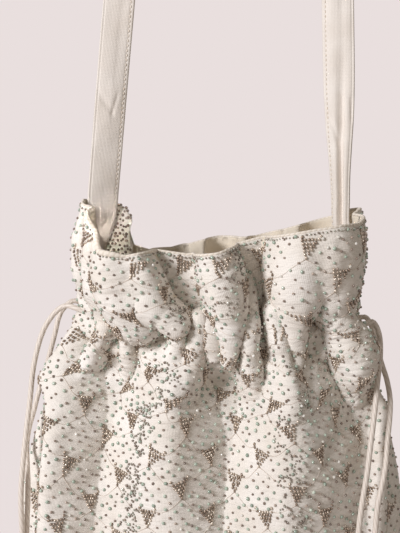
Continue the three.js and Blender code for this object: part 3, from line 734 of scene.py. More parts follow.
# Points, outward directions and directions along and down the cloth, at places of its UV map.
def onCloth(panel, u, v):
    uv = panel["uv"]
    rows, columns = uv.shape[:2]
    c = np.interp(u, uv[0, :, 0], np.arange(columns))
    r = np.interp(v, uv[:, 0, 1], np.arange(rows))
    c0 = np.clip(c.astype(int), 0, columns - 2)
    r0 = np.clip(r.astype(int), 0, rows - 2)
    fc, fr = (c - c0)[..., None], (r - r0)[..., None]

    def blended(grid):
        upper = grid[r0, c0] * (1 - fc) + grid[r0, c0 + 1] * fc
        lower = grid[r0 + 1, c0] * (1 - fc) + grid[r0 + 1, c0 + 1] * fc
        return upper * (1 - fr) + lower * fr

    normal = unit(blended(panel["normals"]))
    grid = panel["outer"]
    down = grid[r0 + 1, c0] - grid[r0, c0]
    down = unit(down - normal * (down * normal).sum(-1, keepdims=True))
    return blended(grid), normal, np.cross(down, normal), down


# The corner of the back panel beside the left leg of the strap, turned over inwards so that its
# beads show. Each edge is given as depth and height at its left and its right end.
cornerSet = {
    "x": (-0.0750, -0.0585),
    "back": ((0.0225, -0.2990), (0.0100, -0.3040)),
    "top": ((0.0140, -0.2953), (0.0045, -0.2972)),
    "low": ((0.0170, -0.3450), (0.0110, -0.3450)),
    "columns": 25,
    "thick": 0.0011,
}


# From its back edge the cloth runs forward, turns over along its top and hangs down, swollen a
# little, with a soft crumple; its free corner is rounded off.
def turnCorner():
    c = cornerSet
    s = np.linspace(0, 1, c["columns"])
    edges = (c[name] for name in ("back", "top", "low"))
    back, top, low = (np.outer(1 - s, left) + np.outer(s, right) for left, right in edges)
    top[:, 1] -= 0.009 * ease(s, 0.55, 1) ** 2
    back[:, 1] -= 0.006 * ease(s, 0.55, 1) ** 2
    spine = [
        back, back * 0.35 + top * 0.65 + [0, 0.0022], top,
        top * 0.86 + low * 0.14 - [0.0026, 0], top * 0.5 + low * 0.5 - [0.0030, 0], low,
    ]
    curve = smoothLine([edge.ravel() for edge in spine], 8).reshape(-1, c["columns"], 2)
    x = c["x"][0] + (c["x"][1] - c["x"][0]) * s + 0 * curve[..., 0]
    x = x + s * 0.0012 * np.sin(curve[..., 1] / 0.0035)
    grid = np.concatenate([x[..., None], curve], -1)
    grid[..., 1] += (softNoise(x / 0.006, curve[..., 1] / 0.007, 8) - 0.5) * 0.0024
    uv = np.stack(np.meshgrid((s - 0.5) * (c["x"][1] - c["x"][0]) * 1.15, lengthDown(grid)), -1)
    normal = gridNormals(grid)
    cloth = addMesh("turned_corner_cloth", *clothShell(grid, grid - normal * c["thick"], 1, uv))
    return cloth, {"outer": grid, "uv": uv, "normals": normal}


cornerCloth, cornerPanel = turnCorner()


# The cloth of the base and of its lining: an oval pad whose section runs from the middle of its
# underside round the edge to the middle of its top.
def ovalPad(drop, outward, low, high, rings=14, around=120):
    turn = 2 * math.pi * np.arange(around) / around
    edge = wallPoint(turn, np.full(around, drop), np.full(around, outward))[:, :2]
    half = (high - low) / 2
    bend = np.linspace(-math.pi / 2, math.pi / 2, 7)
    inset = (1 - np.cos(bend)) * half / np.abs(edge).max()
    inward = np.linspace(0.94, 0.08, rings)
    scale = np.concatenate([inward[::-1], 1 - inset, inward])
    rounded = (low + high) / 2 + np.sin(bend) * half
    level = np.concatenate([np.full(rings, low), rounded, np.full(rings, high)])
    count = len(level)
    heights = np.broadcast_to(level[:, None, None], (count, around, 1))
    ring = np.concatenate([edge[None] * scale[:, None, None], heights], -1)
    points = np.vstack([ring.reshape(-1, 3), [[0, 0, low], [0, 0, high]]])
    return points, [gridFaces(count, around, ring=True, flip=True), endFans(count, around)], points[:, :2]


baseLevel = pouch["rimHeight"] - pouch["frillHeight"] - pouch["bodyHeight"]
baseCloth = addMesh("outer_base_cloth", *ovalPad(0.291, 0.0009, baseLevel, baseLevel + 0.0014))
liningPad = ovalPad(0.289, -0.0016, baseLevel + 0.0040, baseLevel + 0.0048)
liningBase = addMesh("lining_base_cloth", *liningPad)


# A turned edge of cloth that runs round both panels along one row, wider at the front left corner.
def edgeRing(row, radius, sides, layer="outer", wider=0.0):
    line = np.vstack([(p["outer"][row, :-1] + p[layer][row, :-1]) / 2 for p in panels.values()])
    ring = evenLine(np.vstack([line, line[:1]]), 0.0012)[:-1]
    broad = ease(-ring[:, 0], 0.054, 0.066) * (1 - ease(-ring[:, 0], 0.082, 0.087)) * (ring[:, 1] < 0)
    return roundBar(ring, radius + wider * broad, sides, (0, 0, 1), closed=True)


rimEdge = addMesh("rim_edge", *edgeRing(0, 0.0009, 12, "lining", 0.0010))
baseSeam = addMesh("base_seam", *edgeRing(-1, 0.0009, 8))

# Beads sewn on the outer cloth. A size is half length, half width and height.
beadSet = {
    "rowGap": 0.0040,
    "beadGap": 0.0076,
    "jitter": 0.0006,
    "mint": (0.00120, 0.001032, 0.00080),
    "brown": (0.00090, 0.000774, 0.00070),
    "clear": (0.00105, 0.000903, 0.00090),
    "seed": (0.00074, 0.000629, 0.00060),
    "wave": (0.0020, 0.042, 0.35),  # of the rows: height, length and advance from row to row
    "freeOfRounds": (0.0068, 0.0072),  # half sizes of the bare oval about a cluster
    "freeOfSeeds": 0.006,  # half of the square that seed beads leave there
    "strays": 0.10,  # share of the beads that lie in a row of the other colour
    "clears": 0.06,  # share of clear beads
    # bands of seed beads: place across, top and bottom, where None is the base
    "frontBands": [(-0.052, 0, 0.05), (-0.052, 0.10, None), (0.062, 0.10, None), (0.012, 0, 0.045)],
    "backBands": [(-0.055, 0, 0.05), (-0.055, 0.10, None), (0.055, 0.10, None), (0.055, 0, 0.05)],
    "bandWidth": 0.013,
    "seedGap": 0.0030,
    "archGap": 0.0095,  # between the arches of seed beads in a band
    "clusterAcross": 0.021,
    "clusterDown": 0.038,
    "clusterTop": 0.012,  # of the first row of clusters
    "clusterRows": 6,
    "cluster": (0.00114, 0.00072, 0.00072),
    "clusterStep": (0.00190, 0.00200),  # between the beads of a row and between the rows
    "horns": 2.85,  # place of the beads beyond both ends of a cluster's last row
    "stemBow": (0.0004, 0.0030),  # least and most sag of a silk stem between its ends
    "stemWobble": 0.0006,
    "stemRadius": (0.00024, 0.00010),  # at its ends and in its middle
    "stemLift": 0.00022,
    "stitch": (0.0011, 0.00028, 0.0003),
    "stitchGap": 0.0034,
}


# A bead of sides around and rings from top to bottom, with a pole at each end.
def beadShape(sides, rings):
    turn = 2 * math.pi * np.arange(sides) / sides
    tilt = math.pi * np.arange(1, rings + 1) / (rings + 1)
    ring = np.stack([
        np.sin(tilt)[:, None] * np.cos(turn),
        np.sin(tilt)[:, None] * np.sin(turn),
        np.cos(tilt)[:, None] + 0 * turn,
    ], -1)
    points = np.vstack([ring.reshape(-1, 3), [[0, 0, 1], [0, 0, -1]]])
    wall = gridFaces(rings, sides, ring=True)
    fans = endFans(rings, sides)[:, [0, 2, 1]]
    return points, np.vstack([wall[:, [0, 1, 2]], wall[:, [0, 2, 3]], fans])


# Keeps a tone from 0 to 1 at each point of a piece, for its material.
def setTone(piece, tone):
    layer = piece.data.attributes.new("tone", "FLOAT", "POINT")
    layer.data.foreach_set("value", tone.astype(np.float32))
    return piece


# One mesh of beads at places on the cloth, with one size and turn for all or one for each, and
# each with its own tone.
def addBeads(name, panel, u, v, size, turn, tone, lift=0.7, shape=(8, 3)):
    place, normal, across, down = onCloth(panel, u, v)
    template, triangles = beadShape(*shape)
    size = np.broadcast_to(size, (len(u), 3))
    turn = np.broadcast_to(turn, len(u))[:, None]
    long = across * np.cos(turn) + down * np.sin(turn)
    axes = (long, np.cross(normal, long), normal)
    centre = place + normal * (size[:, 2:] * lift)
    points = centre[:, None]
    for k, axis in enumerate(axes):
        points = points + template[None, :, k : k + 1] * (axis * size[:, k : k + 1])[:, None]
    count = len(template)
    faces = (triangles[None] + (np.arange(len(u)) * count)[:, None, None]).reshape(-1, 3)
    return setTone(addMesh(name, points.reshape(-1, 3), [faces]), np.repeat(tone, count))


# Beads of one kind, each a little larger or smaller, turned and toned by chance.
def scatterBeads(name, panel, u, v, size, spread, draw, shape=(8, 3)):
    size = np.array([size]) * draw.uniform(*spread, (len(u), 1))
    turn = draw.uniform(0, math.pi, len(u))
    return addBeads(name, panel, u, v, size, turn, draw.random(len(u)), shape=shape)


# The places of the fan-shaped clusters: columns side by side, every other one half a drop lower,
# as arrays of rows and columns, with the apexes of the two clusters above each.
def clusterPlaces(draw):
    b = beadSet
    k, m = np.meshgrid(np.arange(-10, 11), np.arange(-1, 9))
    u = k * b["clusterAcross"] + draw.uniform(-1.4, 1.4, k.shape) * mm
    v = b["clusterTop"] + (m + (k % 2) / 2) * b["clusterDown"] + draw.uniform(-1.8, 1.8, k.shape) * mm
    lean = draw.uniform(-0.30, 0.30, k.shape)
    half = (b["clusterRows"] - 1) * b["clusterStep"][1] / 2
    apex = np.stack([u - np.sin(lean) * half, v + np.cos(lean) * half], -1)
    r, c = np.meshgrid(np.arange(1, len(k)), np.arange(1, k.shape[1] - 1), indexing="ij")
    upper = r - (k[r, c] % 2 == 0)
    above = (apex[upper, c - 1], apex[upper, c + 1])
    return {"u": u[r, c], "v": v[r, c], "lean": lean[r, c], "apex": apex[r, c], "above": above}


# Which of the clusters lie on the cloth.
def onPanel(panel, u, v):
    return (np.abs(u) < panel["wide"] - 0.008) & (v > 0.006) & (v < panel["tall"] - 0.012)


# The beads of the clusters: rows of one, two and more oval beads from the apex up, every bead
# along its ray, and a horn of one more at each end.
def sewClusters(side, panel, clusters, draw):
    b = beadSet
    across, down = b["clusterStep"]
    row = np.repeat(np.arange(b["clusterRows"]), np.arange(b["clusterRows"]) + 1)
    place = np.concatenate([np.arange(n + 1) - n / 2 for n in range(b["clusterRows"])])
    row = np.append(row, [b["clusterRows"]] * 2)
    place = np.append(place, [-b["horns"], b["horns"]])
    chosen = onPanel(panel, clusters["u"], clusters["v"])
    lean = clusters["lean"][chosen][:, None]
    apex = clusters["apex"][chosen]
    shape = (len(apex), len(row))
    x = place * across + draw.normal(0, 0.00015, shape)
    y = row * down + draw.normal(0, 0.00015, shape)
    u = (apex[:, :1] + np.cos(lean) * x + np.sin(lean) * y).ravel()
    v = (apex[:, 1:] + np.sin(lean) * x - np.cos(lean) * y).ravel()
    size = np.array([b["cluster"]]) * draw.uniform(0.88, 1.1, (len(u), 1))
    turn = (np.arctan2(x, y + 3 * down) * 1.6 + lean).ravel() - math.pi / 2
    return addBeads(f"bronze_clusters_{side}", panel, u, v, size, turn, draw.random(len(u)), 0.8, (6, 3))


# Round beads in half-offset rows that wave a little, mint and brown by turns with strays and some
# clear ones, left out where a cluster lies.
def sewRounds(side, panel, clusters, draw):
    b = beadSet
    wide, tall = panel["wide"], panel["tall"]
    rows = np.arange(int(tall / b["rowGap"]))
    columns = np.arange(-int(wide / b["beadGap"]) - 1, int(wide / b["beadGap"]) + 2)
    j, i = np.meshgrid(rows, columns, indexing="ij")
    u = (i + (j % 2) / 2) * b["beadGap"] + draw.normal(0, b["jitter"], j.shape)
    high, long, advance = b["wave"]
    wave = high * np.sin(2 * math.pi * u / long + j * advance)
    v = b["rowGap"] * (j + 1) + wave + draw.normal(0, b["jitter"], j.shape)
    u, v, j = (a.ravel() for a in (u, v, j))
    halfWide, halfTall = b["freeOfRounds"]
    offAcross = (u[:, None] - clusters["u"].ravel()) / halfWide
    offDown = (v[:, None] - clusters["v"].ravel()) / halfTall
    free = (offAcross**2 + offDown**2 > 1).all(1)
    keep = (np.abs(u) < wide - 0.002) & (v > 0.0012) & (v < tall - 0.002) & free
    u, v, j = (a[keep] for a in (u, v, j))
    kind = (j % 2) * 0.5 + draw.random(len(u)) * 0.5
    kind = np.where(draw.random(len(u)) < b["strays"], (kind + 0.5) % 1, kind)
    kind = np.where(draw.random(len(u)) < b["clears"], 1.5, kind)
    made = []
    for name, low, high in (("mint", -1, 0.5), ("brown", 0.5, 1), ("clear", 1, 2)):
        chosen = (kind > low) & (kind <= high)
        places = (u[chosen], v[chosen])
        made.append(scatterBeads(f"{name}_beads_{side}", panel, *places, b[name], (0.82, 1.12), draw))
    return made


# Seed beads: dense bands down the panel with small arches in them, one under another, and a row
# along the rim.
def sewSeeds(side, panel, clusters, draw):
    b = beadSet
    wide, tall = panel["wide"], panel["tall"]
    bend = np.linspace(0.05 * math.pi, 0.95 * math.pi, 8)
    u, v = [], []
    for centre, top, bottom in b[side + "Bands"]:
        bottom = bottom or tall
        count = int((bottom - top) * b["bandWidth"] / b["seedGap"] ** 2)
        u.append(centre + draw.normal(0, b["bandWidth"] / 3.2, count))
        v.append(draw.uniform(top, bottom, count))
        levels = np.arange(top, bottom, b["archGap"])
        shape = (len(levels), len(bend))
        beside = 0.0045 * np.where(np.arange(len(levels)) % 2, 1, -1)
        middles = centre + beside + draw.normal(0, 0.001, len(levels))
        u.append((middles[:, None] + 0.0040 * np.cos(bend) + draw.normal(0, 0.0004, shape)).ravel())
        v.append((levels[:, None] - 0.0050 * np.sin(bend) + draw.normal(0, 0.0004, shape)).ravel())
    edge = np.arange(-wide + 0.001, wide, 0.0023)
    u, v = np.concatenate([*u, edge]), np.concatenate([*v, 0.0016 + draw.uniform(0, 0.0009, len(edge))])
    acrossFree = np.abs(u[:, None] - clusters["u"].ravel()) > b["freeOfSeeds"]
    downFree = np.abs(v[:, None] - clusters["v"].ravel()) > b["freeOfSeeds"]
    keep = (acrossFree | downFree).all(1) | (v < 0.003)
    u, v = u[keep], np.clip(v[keep], 0.001, tall - 0.002)
    return scatterBeads(f"seed_beads_{side}", panel, u, v, b["seed"], (0.8, 1.2), draw, (6, 3))


# Brown silk stems: from both top corners of each cluster to the apexes of the two above it, bowed,
# laid on the cloth as thin bars of four sides, darker and thicker at their ends.
def sewStems(side, panel, clusters, draw):
    b = beadSet
    steps = 15
    half = b["clusterRows"] * b["clusterStep"][0] / 2
    rise = (b["clusterRows"] - 1) * b["clusterStep"][1]
    chosen = onPanel(panel, clusters["u"], clusters["v"])
    apex, lean = clusters["apex"][chosen], clusters["lean"][chosen]
    starts, ends = [], []
    for way, above in zip((-1, 1), clusters["above"]):
        corner = np.stack([
            np.cos(lean) * way * half + np.sin(lean) * rise,
            np.sin(lean) * way * half - np.cos(lean) * rise,
        ], -1)
        starts.append(apex + corner)
        ends.append(above[chosen] + [0, 0.0008])
    starts, ends = np.vstack(starts), np.vstack(ends)
    bows = draw.uniform(*b["stemBow"], len(starts))
    t = np.linspace(0, 1, steps)
    path = starts[:, None] + (ends - starts)[:, None] * t[None, :, None]
    path[..., 1] += bows[:, None] * np.sin(math.pi * t) + b["stemWobble"] * np.sin(2 * math.pi * t)
    inside = (np.abs(path[..., 0]) < panel["wide"] - 0.002).all(1) & (path[..., 1] > 0.002).all(1)
    path = path[inside]
    place, normal, _, _ = onCloth(panel, path[..., 0], path[..., 1])
    place = place + normal * b["stemLift"]
    ahead = unit(np.gradient(place, axis=1))
    beside = unit(np.cross(normal, ahead))
    middle = np.sin(math.pi * np.clip(t, 0.03, 0.97)) ** 0.8
    thick, thin = b["stemRadius"]
    radius = thick + (thin - thick) * middle
    ring = np.stack([beside, normal, -beside, -normal], 2) * radius[None, :, None, None]
    points = (place[:, :, None] + ring).reshape(-1, 3)
    last = steps * 4 - 1
    tips = [[0, 1, 2, 3], [last, last - 1, last - 2, last - 3]]
    bar = np.vstack([gridFaces(steps, 4, ring=True), tips])
    faces = (bar[None] + (np.arange(len(path)) * steps * 4)[:, None, None]).reshape(-1, 4)
    stems = addMesh(f"silk_stems_{side}", points, [faces])
    return setTone(stems, np.tile(np.repeat(middle, 4), len(path)))


# Ivory stitches of the two rows that close the channel.
def sewStitches(side, panel, draw):
    half = clothSet["channelHalf"]
    drops = np.array([pouch["frillHeight"] - half, pouch["frillHeight"] + half])
    levels = np.interp(drops, panel["drops"], panel["uv"][:, 0, 1])
    wide = panel["wide"] - 0.002
    row = np.arange(-wide, wide, beadSet["stitchGap"])
    u, v = np.tile(row, 2), np.repeat(levels, len(row))
    name = f"channel_stitches_{side}"
    return addBeads(name, panel, u, v, beadSet["stitch"], 0, draw.random(len(u)), 0.6, (6, 3))


trims = {}
for side, panel in panels.items():
    draw = np.random.default_rng(panelSet[side]["seed"])
    clusters = clusterPlaces(draw)
    trims[side] = [
        sewClusters(side, panel, clusters, draw),
        *sewRounds(side, panel, clusters, draw),
        sewSeeds(side, panel, clusters, draw),
        sewStems(side, panel, clusters, draw),
        sewStitches(side, panel, draw),
    ]
    print(side, "trim triangles", [len(t.data.polygons) for t in trims[side]])

# Beads of the turned corner in half-offset rows, by a draw that the strap's stitches go on using
draw = np.random.default_rng(5)
u, v = np.meshgrid(np.arange(-0.0082, 0.0083, 0.0030), np.arange(0.007, 0.052, 0.0028))
u = u + (np.arange(len(v)) % 2)[:, None] * 0.0015 + draw.normal(0, 0.0005, u.shape)
v = v + draw.normal(0, 0.0005, v.shape)
places = (np.clip(u.ravel(), -0.0090, 0.0090), v.ravel())
size = (0.00105, 0.00092, 0.00085)
cornerBeads = scatterBeads("turned_corner_beads", cornerPanel, *places, size, (0.75, 1.2), draw)

# The strap: one flat tube of folded cotton from the seam inside the mouth, up the left leg, over
# the hook and down to the other seam
strapSet = {
    "width": 0.020,
    "thickness": 0.0022,
    "columns": 41,  # of the flat of each side
    "drop": 0.289,
    "archRadius": 0.061,
    "footReach": 0.0765,
    "endDrop": 0.3273,
    "endReach": 0.0795,
    "step": 0.002,
    # degrees by which a leg is turned from facing the front, by height
    "turns": [(-0.327, 88), (-0.318, 60), (-0.308, 34), (-0.293, 22), (-0.226, 12), (-0.165, 5),
              (-0.151, 2)],
    "rightTurn": 7,  # degrees that the right leg turns more than the left
    "valleyTurn": 52,  # degrees that both halves of the right leg fold inwards at most
    "valleyDrops": (0.185, 0.292, 0.300),  # where the valley begins, is deepest and begins to close
    "flatFrom": -0.151,  # height where the legs turn square to the arch
    "bend": (-0.283, -0.296),  # heights between which the strap bends at the mouth
    "foldedSeam": -0.0086,  # where the doubled edge lies across the strap
    "stitching": 0.0077,
    "stitchGap": 0.0030,
    "stitch": (0.0010, 0.0003, 0.00034),
    "swell": (0.00035, 0.0010),  # of the left and the right leg between their edges
    "swellHalf": 0.0085,
    "seamGroove": (0.00055, 0.00035),  # depth and half width
    "stitchGroove": (0.0003, 0.0005),
    "sway": 0.0007,  # of the edges
    "fold": (0.0064, 0.0016, 0.0026),  # of the valley: depth, place left of the middle, half width
    # creases: leg, place across and height of both ends, depth and half width, in millimetres
    "creases": [
        (-1, -9, -224, 1.5, -237, 0.7, 1.3), (-1, 1.5, -237, 4, -226, 0.5, 1.1),
        (-1, 3, -160, 1, -215, 0.3, 3), (1, -9, -228, 0, -252, 0.9, 1.5),
        (1, 2.3, -222, 3, -243, 0.8, 1.3), (1, 8, -224, 8.6, -238, 0.7, 1.0),
        (1, 2, -150, 3, -216, 0.5, 2.4), (1, -5, -150, -4, -205, -0.4, 3),
    ],
}


# Stations along the strap: middle, direction across it and how far its middle is folded back.
def strapStations():
    s = strapSet
    radius = s["archRadius"] + s["thickness"] / 2
    turnAt, turns = np.array(s["turns"]).T
    z = np.arange(-s["endDrop"], -s["archRadius"], s["step"])
    up = np.clip((z + s["drop"]) / (s["drop"] - s["archRadius"]), 0, 1)
    x = s["footReach"] + (radius - s["footReach"]) * up
    x = x + (s["endReach"] - s["footReach"]) * ease(-z, s["drop"], s["endDrop"])
    squared = ease(z, s["flatFrom"], -s["archRadius"])
    turn = np.radians(np.interp(z, turnAt, turns) + 90 * squared)
    left = np.stack([-x, 0 * x, z], 1)
    leftAcross = np.stack([np.cos(turn), np.sin(turn), 0 * x], 1)
    right = np.stack([x, 0 * x, z], 1)[::-1]
    turn = turn + np.radians(s["rightTurn"]) * (1 - squared)
    rightAcross = np.stack([-np.cos(turn), np.sin(turn), 0 * x], 1)[::-1]
    bend = np.linspace(math.pi, 0, 90)[1:-1]
    arch = np.stack([radius * np.cos(bend), 0 * bend, radius * np.sin(bend) - s["archRadius"]], 1)
    middle = np.vstack([left, arch, right])
    across = np.vstack([leftAcross, np.tile([0, 1.0, 0], (len(arch), 1)), rightAcross])
    begins, deepest, closes = s["valleyDrops"]
    rightLeg = (middle[:, 0] > 0) * ease(-middle[:, 2], begins, deepest)
    valley = np.radians(s["valleyTurn"] * rightLeg) * (1 - ease(-middle[:, 2], closes, s["endDrop"]))
    return middle, across, valley


# Depth of the strap's creases: bell-shaped grooves along straight lines.
def strapCreases(a, middle):
    leg = np.sign(middle[:, 0])[:, None]
    across = -leg * a
    height = middle[:, 2][:, None]
    depth = 0 * a
    for way, a1, z1, a2, z2, deep, wide in strapSet["creases"]:
        da, dz = (a2 - a1) * mm, (z2 - z1) * mm
        t = np.clip(((across - a1 * mm) * da + (height - z1 * mm) * dz) / (da * da + dz * dz), 0, 1)
        far = np.hypot(across - a1 * mm - t * da, height - z1 * mm - t * dz)
        depth = depth + deep * mm * np.exp(-((far / (wide * mm)) ** 2)) * (leg == way)
    return depth


# The strap's section, a flat bar with round edges: places across it and off its middle plane.
def strapSection():
    half, thick = strapSet["width"] / 2, strapSet["thickness"] / 2
    flat = np.linspace(-1, 1, strapSet["columns"]) * (half - thick)
    bend = np.linspace(0, math.pi, 7)[1:-1]
    edge = half - thick + thick * np.sin(bend)
    across = np.concatenate([flat, edge, flat[::-1], -edge])
    rounded = thick * np.cos(bend)
    off = np.concatenate([0 * flat + thick, rounded, 0 * flat - thick, -rounded])
    return across, off


# The strap's cloth and its stitches. Over the flat bar lie a swell between the edges, bell-shaped
# grooves at the seam and the stitching, noise, a sine sway of the edges, and in the right leg a
# valley: a bell taken from a plane, less a parabola that draws the edges back.
def sewStrap(draw):
    s = strapSet
    middle, across, valley = strapStations()
    place, off = strapSection()
    count, ring = len(middle), len(place)
    ahead = np.gradient(middle, axis=0)
    face = unit(np.cross(across, ahead))
    along = lengthAlong(middle)
    a, run = np.meshgrid(place, along)
    flat = np.abs(off) > s["thickness"] * 0.49
    high = np.where(middle[:, 0] > 0, s["swell"][1], s["swell"][0])[:, None]
    bulge = high * (1 - (a / s["swellHalf"]) ** 2) * (np.abs(a) < s["swellHalf"])
    groove = 0
    for name, middleAt in (("seamGroove", s["foldedSeam"]), ("stitchGroove", s["stitching"])):
        deep, wide = s[name]
        groove = groove + deep * np.exp(-(((a - middleAt) / wide) ** 2))
    crease = (softNoise(run / 0.05 + a / 0.022, a / 0.03, 5) - 0.5) * 0.0011
    crease += (softNoise(run / 0.011 - a / 0.012, a / 0.012 + run / 0.07, 6) - 0.5) * 0.0005
    swell = np.where(flat, bulge - groove, 0)
    sway = s["sway"] * np.sin(run / 0.034 + 1.3) * (np.abs(a) / 0.01)
    deep, left, wide = s["fold"]
    bent = deep * (1 - np.exp(-(((a + left) / wide) ** 2))) - 32 * a**2 - 0.0030
    bent = bent * np.sin(valley)[:, None] - strapCreases(a, middle)
    narrow = a * np.cos(valley)[:, None]
    lift = off[None] + np.sign(off)[None] * swell + crease + sway + bent
    points = middle[:, None] + across[:, None] * narrow[..., None] + face[:, None] * lift[..., None]
    points = np.vstack([points.reshape(-1, 3), middle[:1], middle[-1:]])
    backSide = np.where(off < 0, 0.04, 0)  # sets its map apart from the front's
    uv = np.vstack([np.stack([a + backSide, run], -1).reshape(-1, 2), [[0, 0], [0, along[-1]]]])
    faces = [gridFaces(count, ring, ring=True, flip=True), endFans(count, ring)]
    strap = addMesh("strap_cloth", points, faces, uv)
    grid = points[:-2].reshape(count, ring, 3)
    sewn = np.arange(0.004, along[-1] - 0.004, s["stitchGap"])
    columns = s["columns"]
    uv = np.stack(np.meshgrid(place[:columns], along), -1)
    back = grid[:, ring // 2 : ring // 2 + columns][:, ::-1]
    stitches = []
    for name, face, way in (("front", grid[:, :columns], -1), ("back", back, 1)):
        panel = {"outer": face, "uv": uv, "normals": gridNormals(face) * way}
        places = (np.full(len(sewn), s["stitching"]), sewn)
        look = (s["stitch"], math.pi / 2, draw.random(len(sewn)), 0.5, (6, 3))
        stitches.append(addBeads(f"strap_stitches_{name}", panel, *places, *look))
    return strap, stitches


strapCloth, strapStitches = sewStrap(draw)
print("strap triangles", len(strapCloth.data.polygons) * 2)


# Knots of both ends of a drawstring: where they lie, and heights of their parts
knotSet = {
    "places": {"left": (-0.1173, -0.0295), "right": (0.0932, -0.0428)},
    "top": -0.5695,
    "wrap": (-0.5722, -0.5806),
    "tip": -0.6070,
    "step": 0.0012,
}


# Two cords side by side that cross below the wrap and end in cut tails, and a helix of two rounds,
# drawn in at both ends, that wraps them.
def tieKnot(side, x, y):
    radius, step = cordSet["diameter"] / 2, knotSet["step"]
    high, low = knotSet["wrap"]
    bars = []
    for way in (-1, 1):
        strand = smoothLine([
            (x + way * 0.0020, y, knotSet["top"]),
            (x + way * 0.0019, y, -0.5745),
            (x - way * 0.0016, y + way * 0.0006, -0.5790),
            (x - way * 0.0022, y - way * 0.0004, -0.5840),
            (x - way * 0.0028, y - way * 0.0012, -0.5920),
            (x - way * 0.0036, y + way * 0.0008, knotSet["tip"] + 0.002 * way),
        ])
        bars.append(roundBar(evenLine(strand, step), radius, 12, (0, 1, 0)))
    turn = np.linspace(0.4, 4.1 * math.pi, 90)
    share = np.linspace(0, 1, 90)
    inward = ease(share, 0, 0.10) * (1 - ease(share, 0.90, 1))
    wrap = np.stack([
        x + np.cos(turn) * (0.0018 + 0.0026 * inward),
        y + np.sin(turn) * (0.0012 + 0.0024 * inward),
        high + (low - high) * share + 0.0016 * np.cos(turn + 0.6),
    ], 1)
    bars.append(roundBar(evenLine(wrap, step), radius * 0.95, 12, (0, 0, 1)))
    return addMesh(f"{side}_knot", *joinBars(bars))


knots = {side: tieKnot(side, x, y) for side, (x, y) in knotSet["places"].items()}

# Materials


# A colour written as its hex code, turned linear.
def linear(code):
    values = [int(code[i : i + 2], 16) / 255 for i in (1, 3, 5)]
    return [v / 12.92 if v <= 0.04045 else ((v + 0.055) / 1.055) ** 2.4 for v in values] + [1]


# Gives the inputs of a node their values or links.
def setInputs(tree, node, inputs):
    for key, value in inputs.items():
        if isinstance(value, bpy.types.NodeSocket):
            tree.links.new(value, node.inputs[key])
        else:
            node.inputs[key].default_value = value
    return node


# Adds a node with its settings, the stops of its ramp and the values or links of its inputs.
def addNode(tree, kind, inputs=None, stops=(), **settings):
    node = tree.nodes.new("ShaderNode" + kind)
    for key, value in settings.items():
        setattr(node, key, value)
    for number, (place, code) in enumerate(stops):
        elements = node.color_ramp.elements
        element = elements[number] if number < 2 else elements.new(place)
        element.position = place
        element.color = linear(code)
    return setInputs(tree, node, inputs or {})


# A material with its tree and its shader.
def newMaterial(name):
    material = bpy.data.materials.new(name)
    material.use_nodes = True
    return material, material.node_tree, material.node_tree.nodes["Principled BSDF"]


# Woven cotton: threads drawn wider than they are so that they show, crinkles of the cloth, and
# faint cloudy tone. The eye gets a dry matt cloth with a soft nap at its edges.
def wovenCotton(name, light, dark, thread, crinkle, depth, roughness, seed):
    material, tree, shader = newMaterial(name)
    uv = addNode(tree, "UVMap", uv_map="cloth").outputs["UV"]
    place = addNode(tree, "Mapping", {"Vector": uv, "Location": (seed, seed * 0.7, 0)}).outputs["Vector"]
    clouds = addNode(tree, "TexNoise", {"Vector": place, "Scale": 38.0, "Detail": 3.0}).outputs["Fac"]
    threads = {"Vector": uv, "Scale": 0.314 / thread, "Distortion": 0.6, "Detail Scale": 2.0}
    warp, weft = (addNode(tree, "TexWave", threads, bands_direction=way).outputs["Fac"] for way in "XY")
    weave = addNode(tree, "Math", {0: warp, 1: weft}, operation="MULTIPLY").outputs[0]
    scale = (1 / crinkle[0], 1 / crinkle[1], 1)
    stretched = addNode(tree, "Mapping", {"Vector": place, "Scale": scale}).outputs[0]
    crinkles = {"Vector": stretched, "Scale": 1.0, "Detail": 4.0, "Roughness": 0.55}
    folds = addNode(tree, "TexNoise", crinkles)
    crinkled = addNode(tree, "Bump", {"Height": folds.outputs["Fac"], "Strength": 1.0, "Distance": depth})
    relief = {"Height": weave, "Strength": 1.0, "Distance": 0.00010, "Normal": crinkled.outputs["Normal"]}
    colour = addNode(tree, "ValToRGB", {"Fac": clouds}, stops=[(0.30, dark), (0.68, light)])
    # for an export without nodes
    shader.inputs["Base Color"].default_value = linear(light)  # the plain colour, which the linked ramp overrides
    setInputs(tree, shader, {
        "Base Color": colour.outputs["Color"],
        "Normal": addNode(tree, "Bump", relief).outputs["Normal"],
        "Roughness": roughness,
        "Specular IOR Level": 0.25,
        "Sheen Weight": 0.12,
        "Sheen Roughness": 0.5,
    })
    return material


# Twisted rayon cord: strands that wind round it, with a low sheen. Its colour carries painted shade: it
# darkens in the grooves between the strands.
def windingCord(name, light, dark, strands, pitch, depth, roughness):
    material, tree, shader = newMaterial(name)
    around = addNode(tree, "Attribute", attribute_name="around").outputs["Vector"]
    parts = addNode(tree, "SeparateXYZ", {0: around}).outputs
    turn = addNode(tree, "Math", {0: parts["Y"], 1: parts["X"]}, operation="ARCTAN2").outputs[0]
    wound = addNode(tree, "Math", {0: turn, 1: float(strands)}, operation="MULTIPLY").outputs[0]
    advance = {0: parts["Z"], 1: 2 * math.pi / pitch, 2: wound}
    phase = addNode(tree, "Math", advance, operation="MULTIPLY_ADD").outputs[0]
    wave = addNode(tree, "Math", {0: phase}, operation="SINE").outputs[0]
    span = {"Value": wave, "From Min": -1.0, "From Max": 1.0}
    level = addNode(tree, "MapRange", span).outputs["Result"]
    bump = addNode(tree, "Bump", {"Height": level, "Strength": 1.0, "Distance": depth})
    # painted shade: the dark tone fills the low places of the relief, the grooves between the strands
    colour = addNode(tree, "ValToRGB", {"Fac": level}, stops=[(0.05, dark), (0.45, light)])
    setInputs(tree, shader, {
        "Base Color": colour.outputs["Color"],
        "Normal": bump.outputs["Normal"],
        "Roughness": roughness,
        "Sheen Weight": 0.1,
    })
    return material


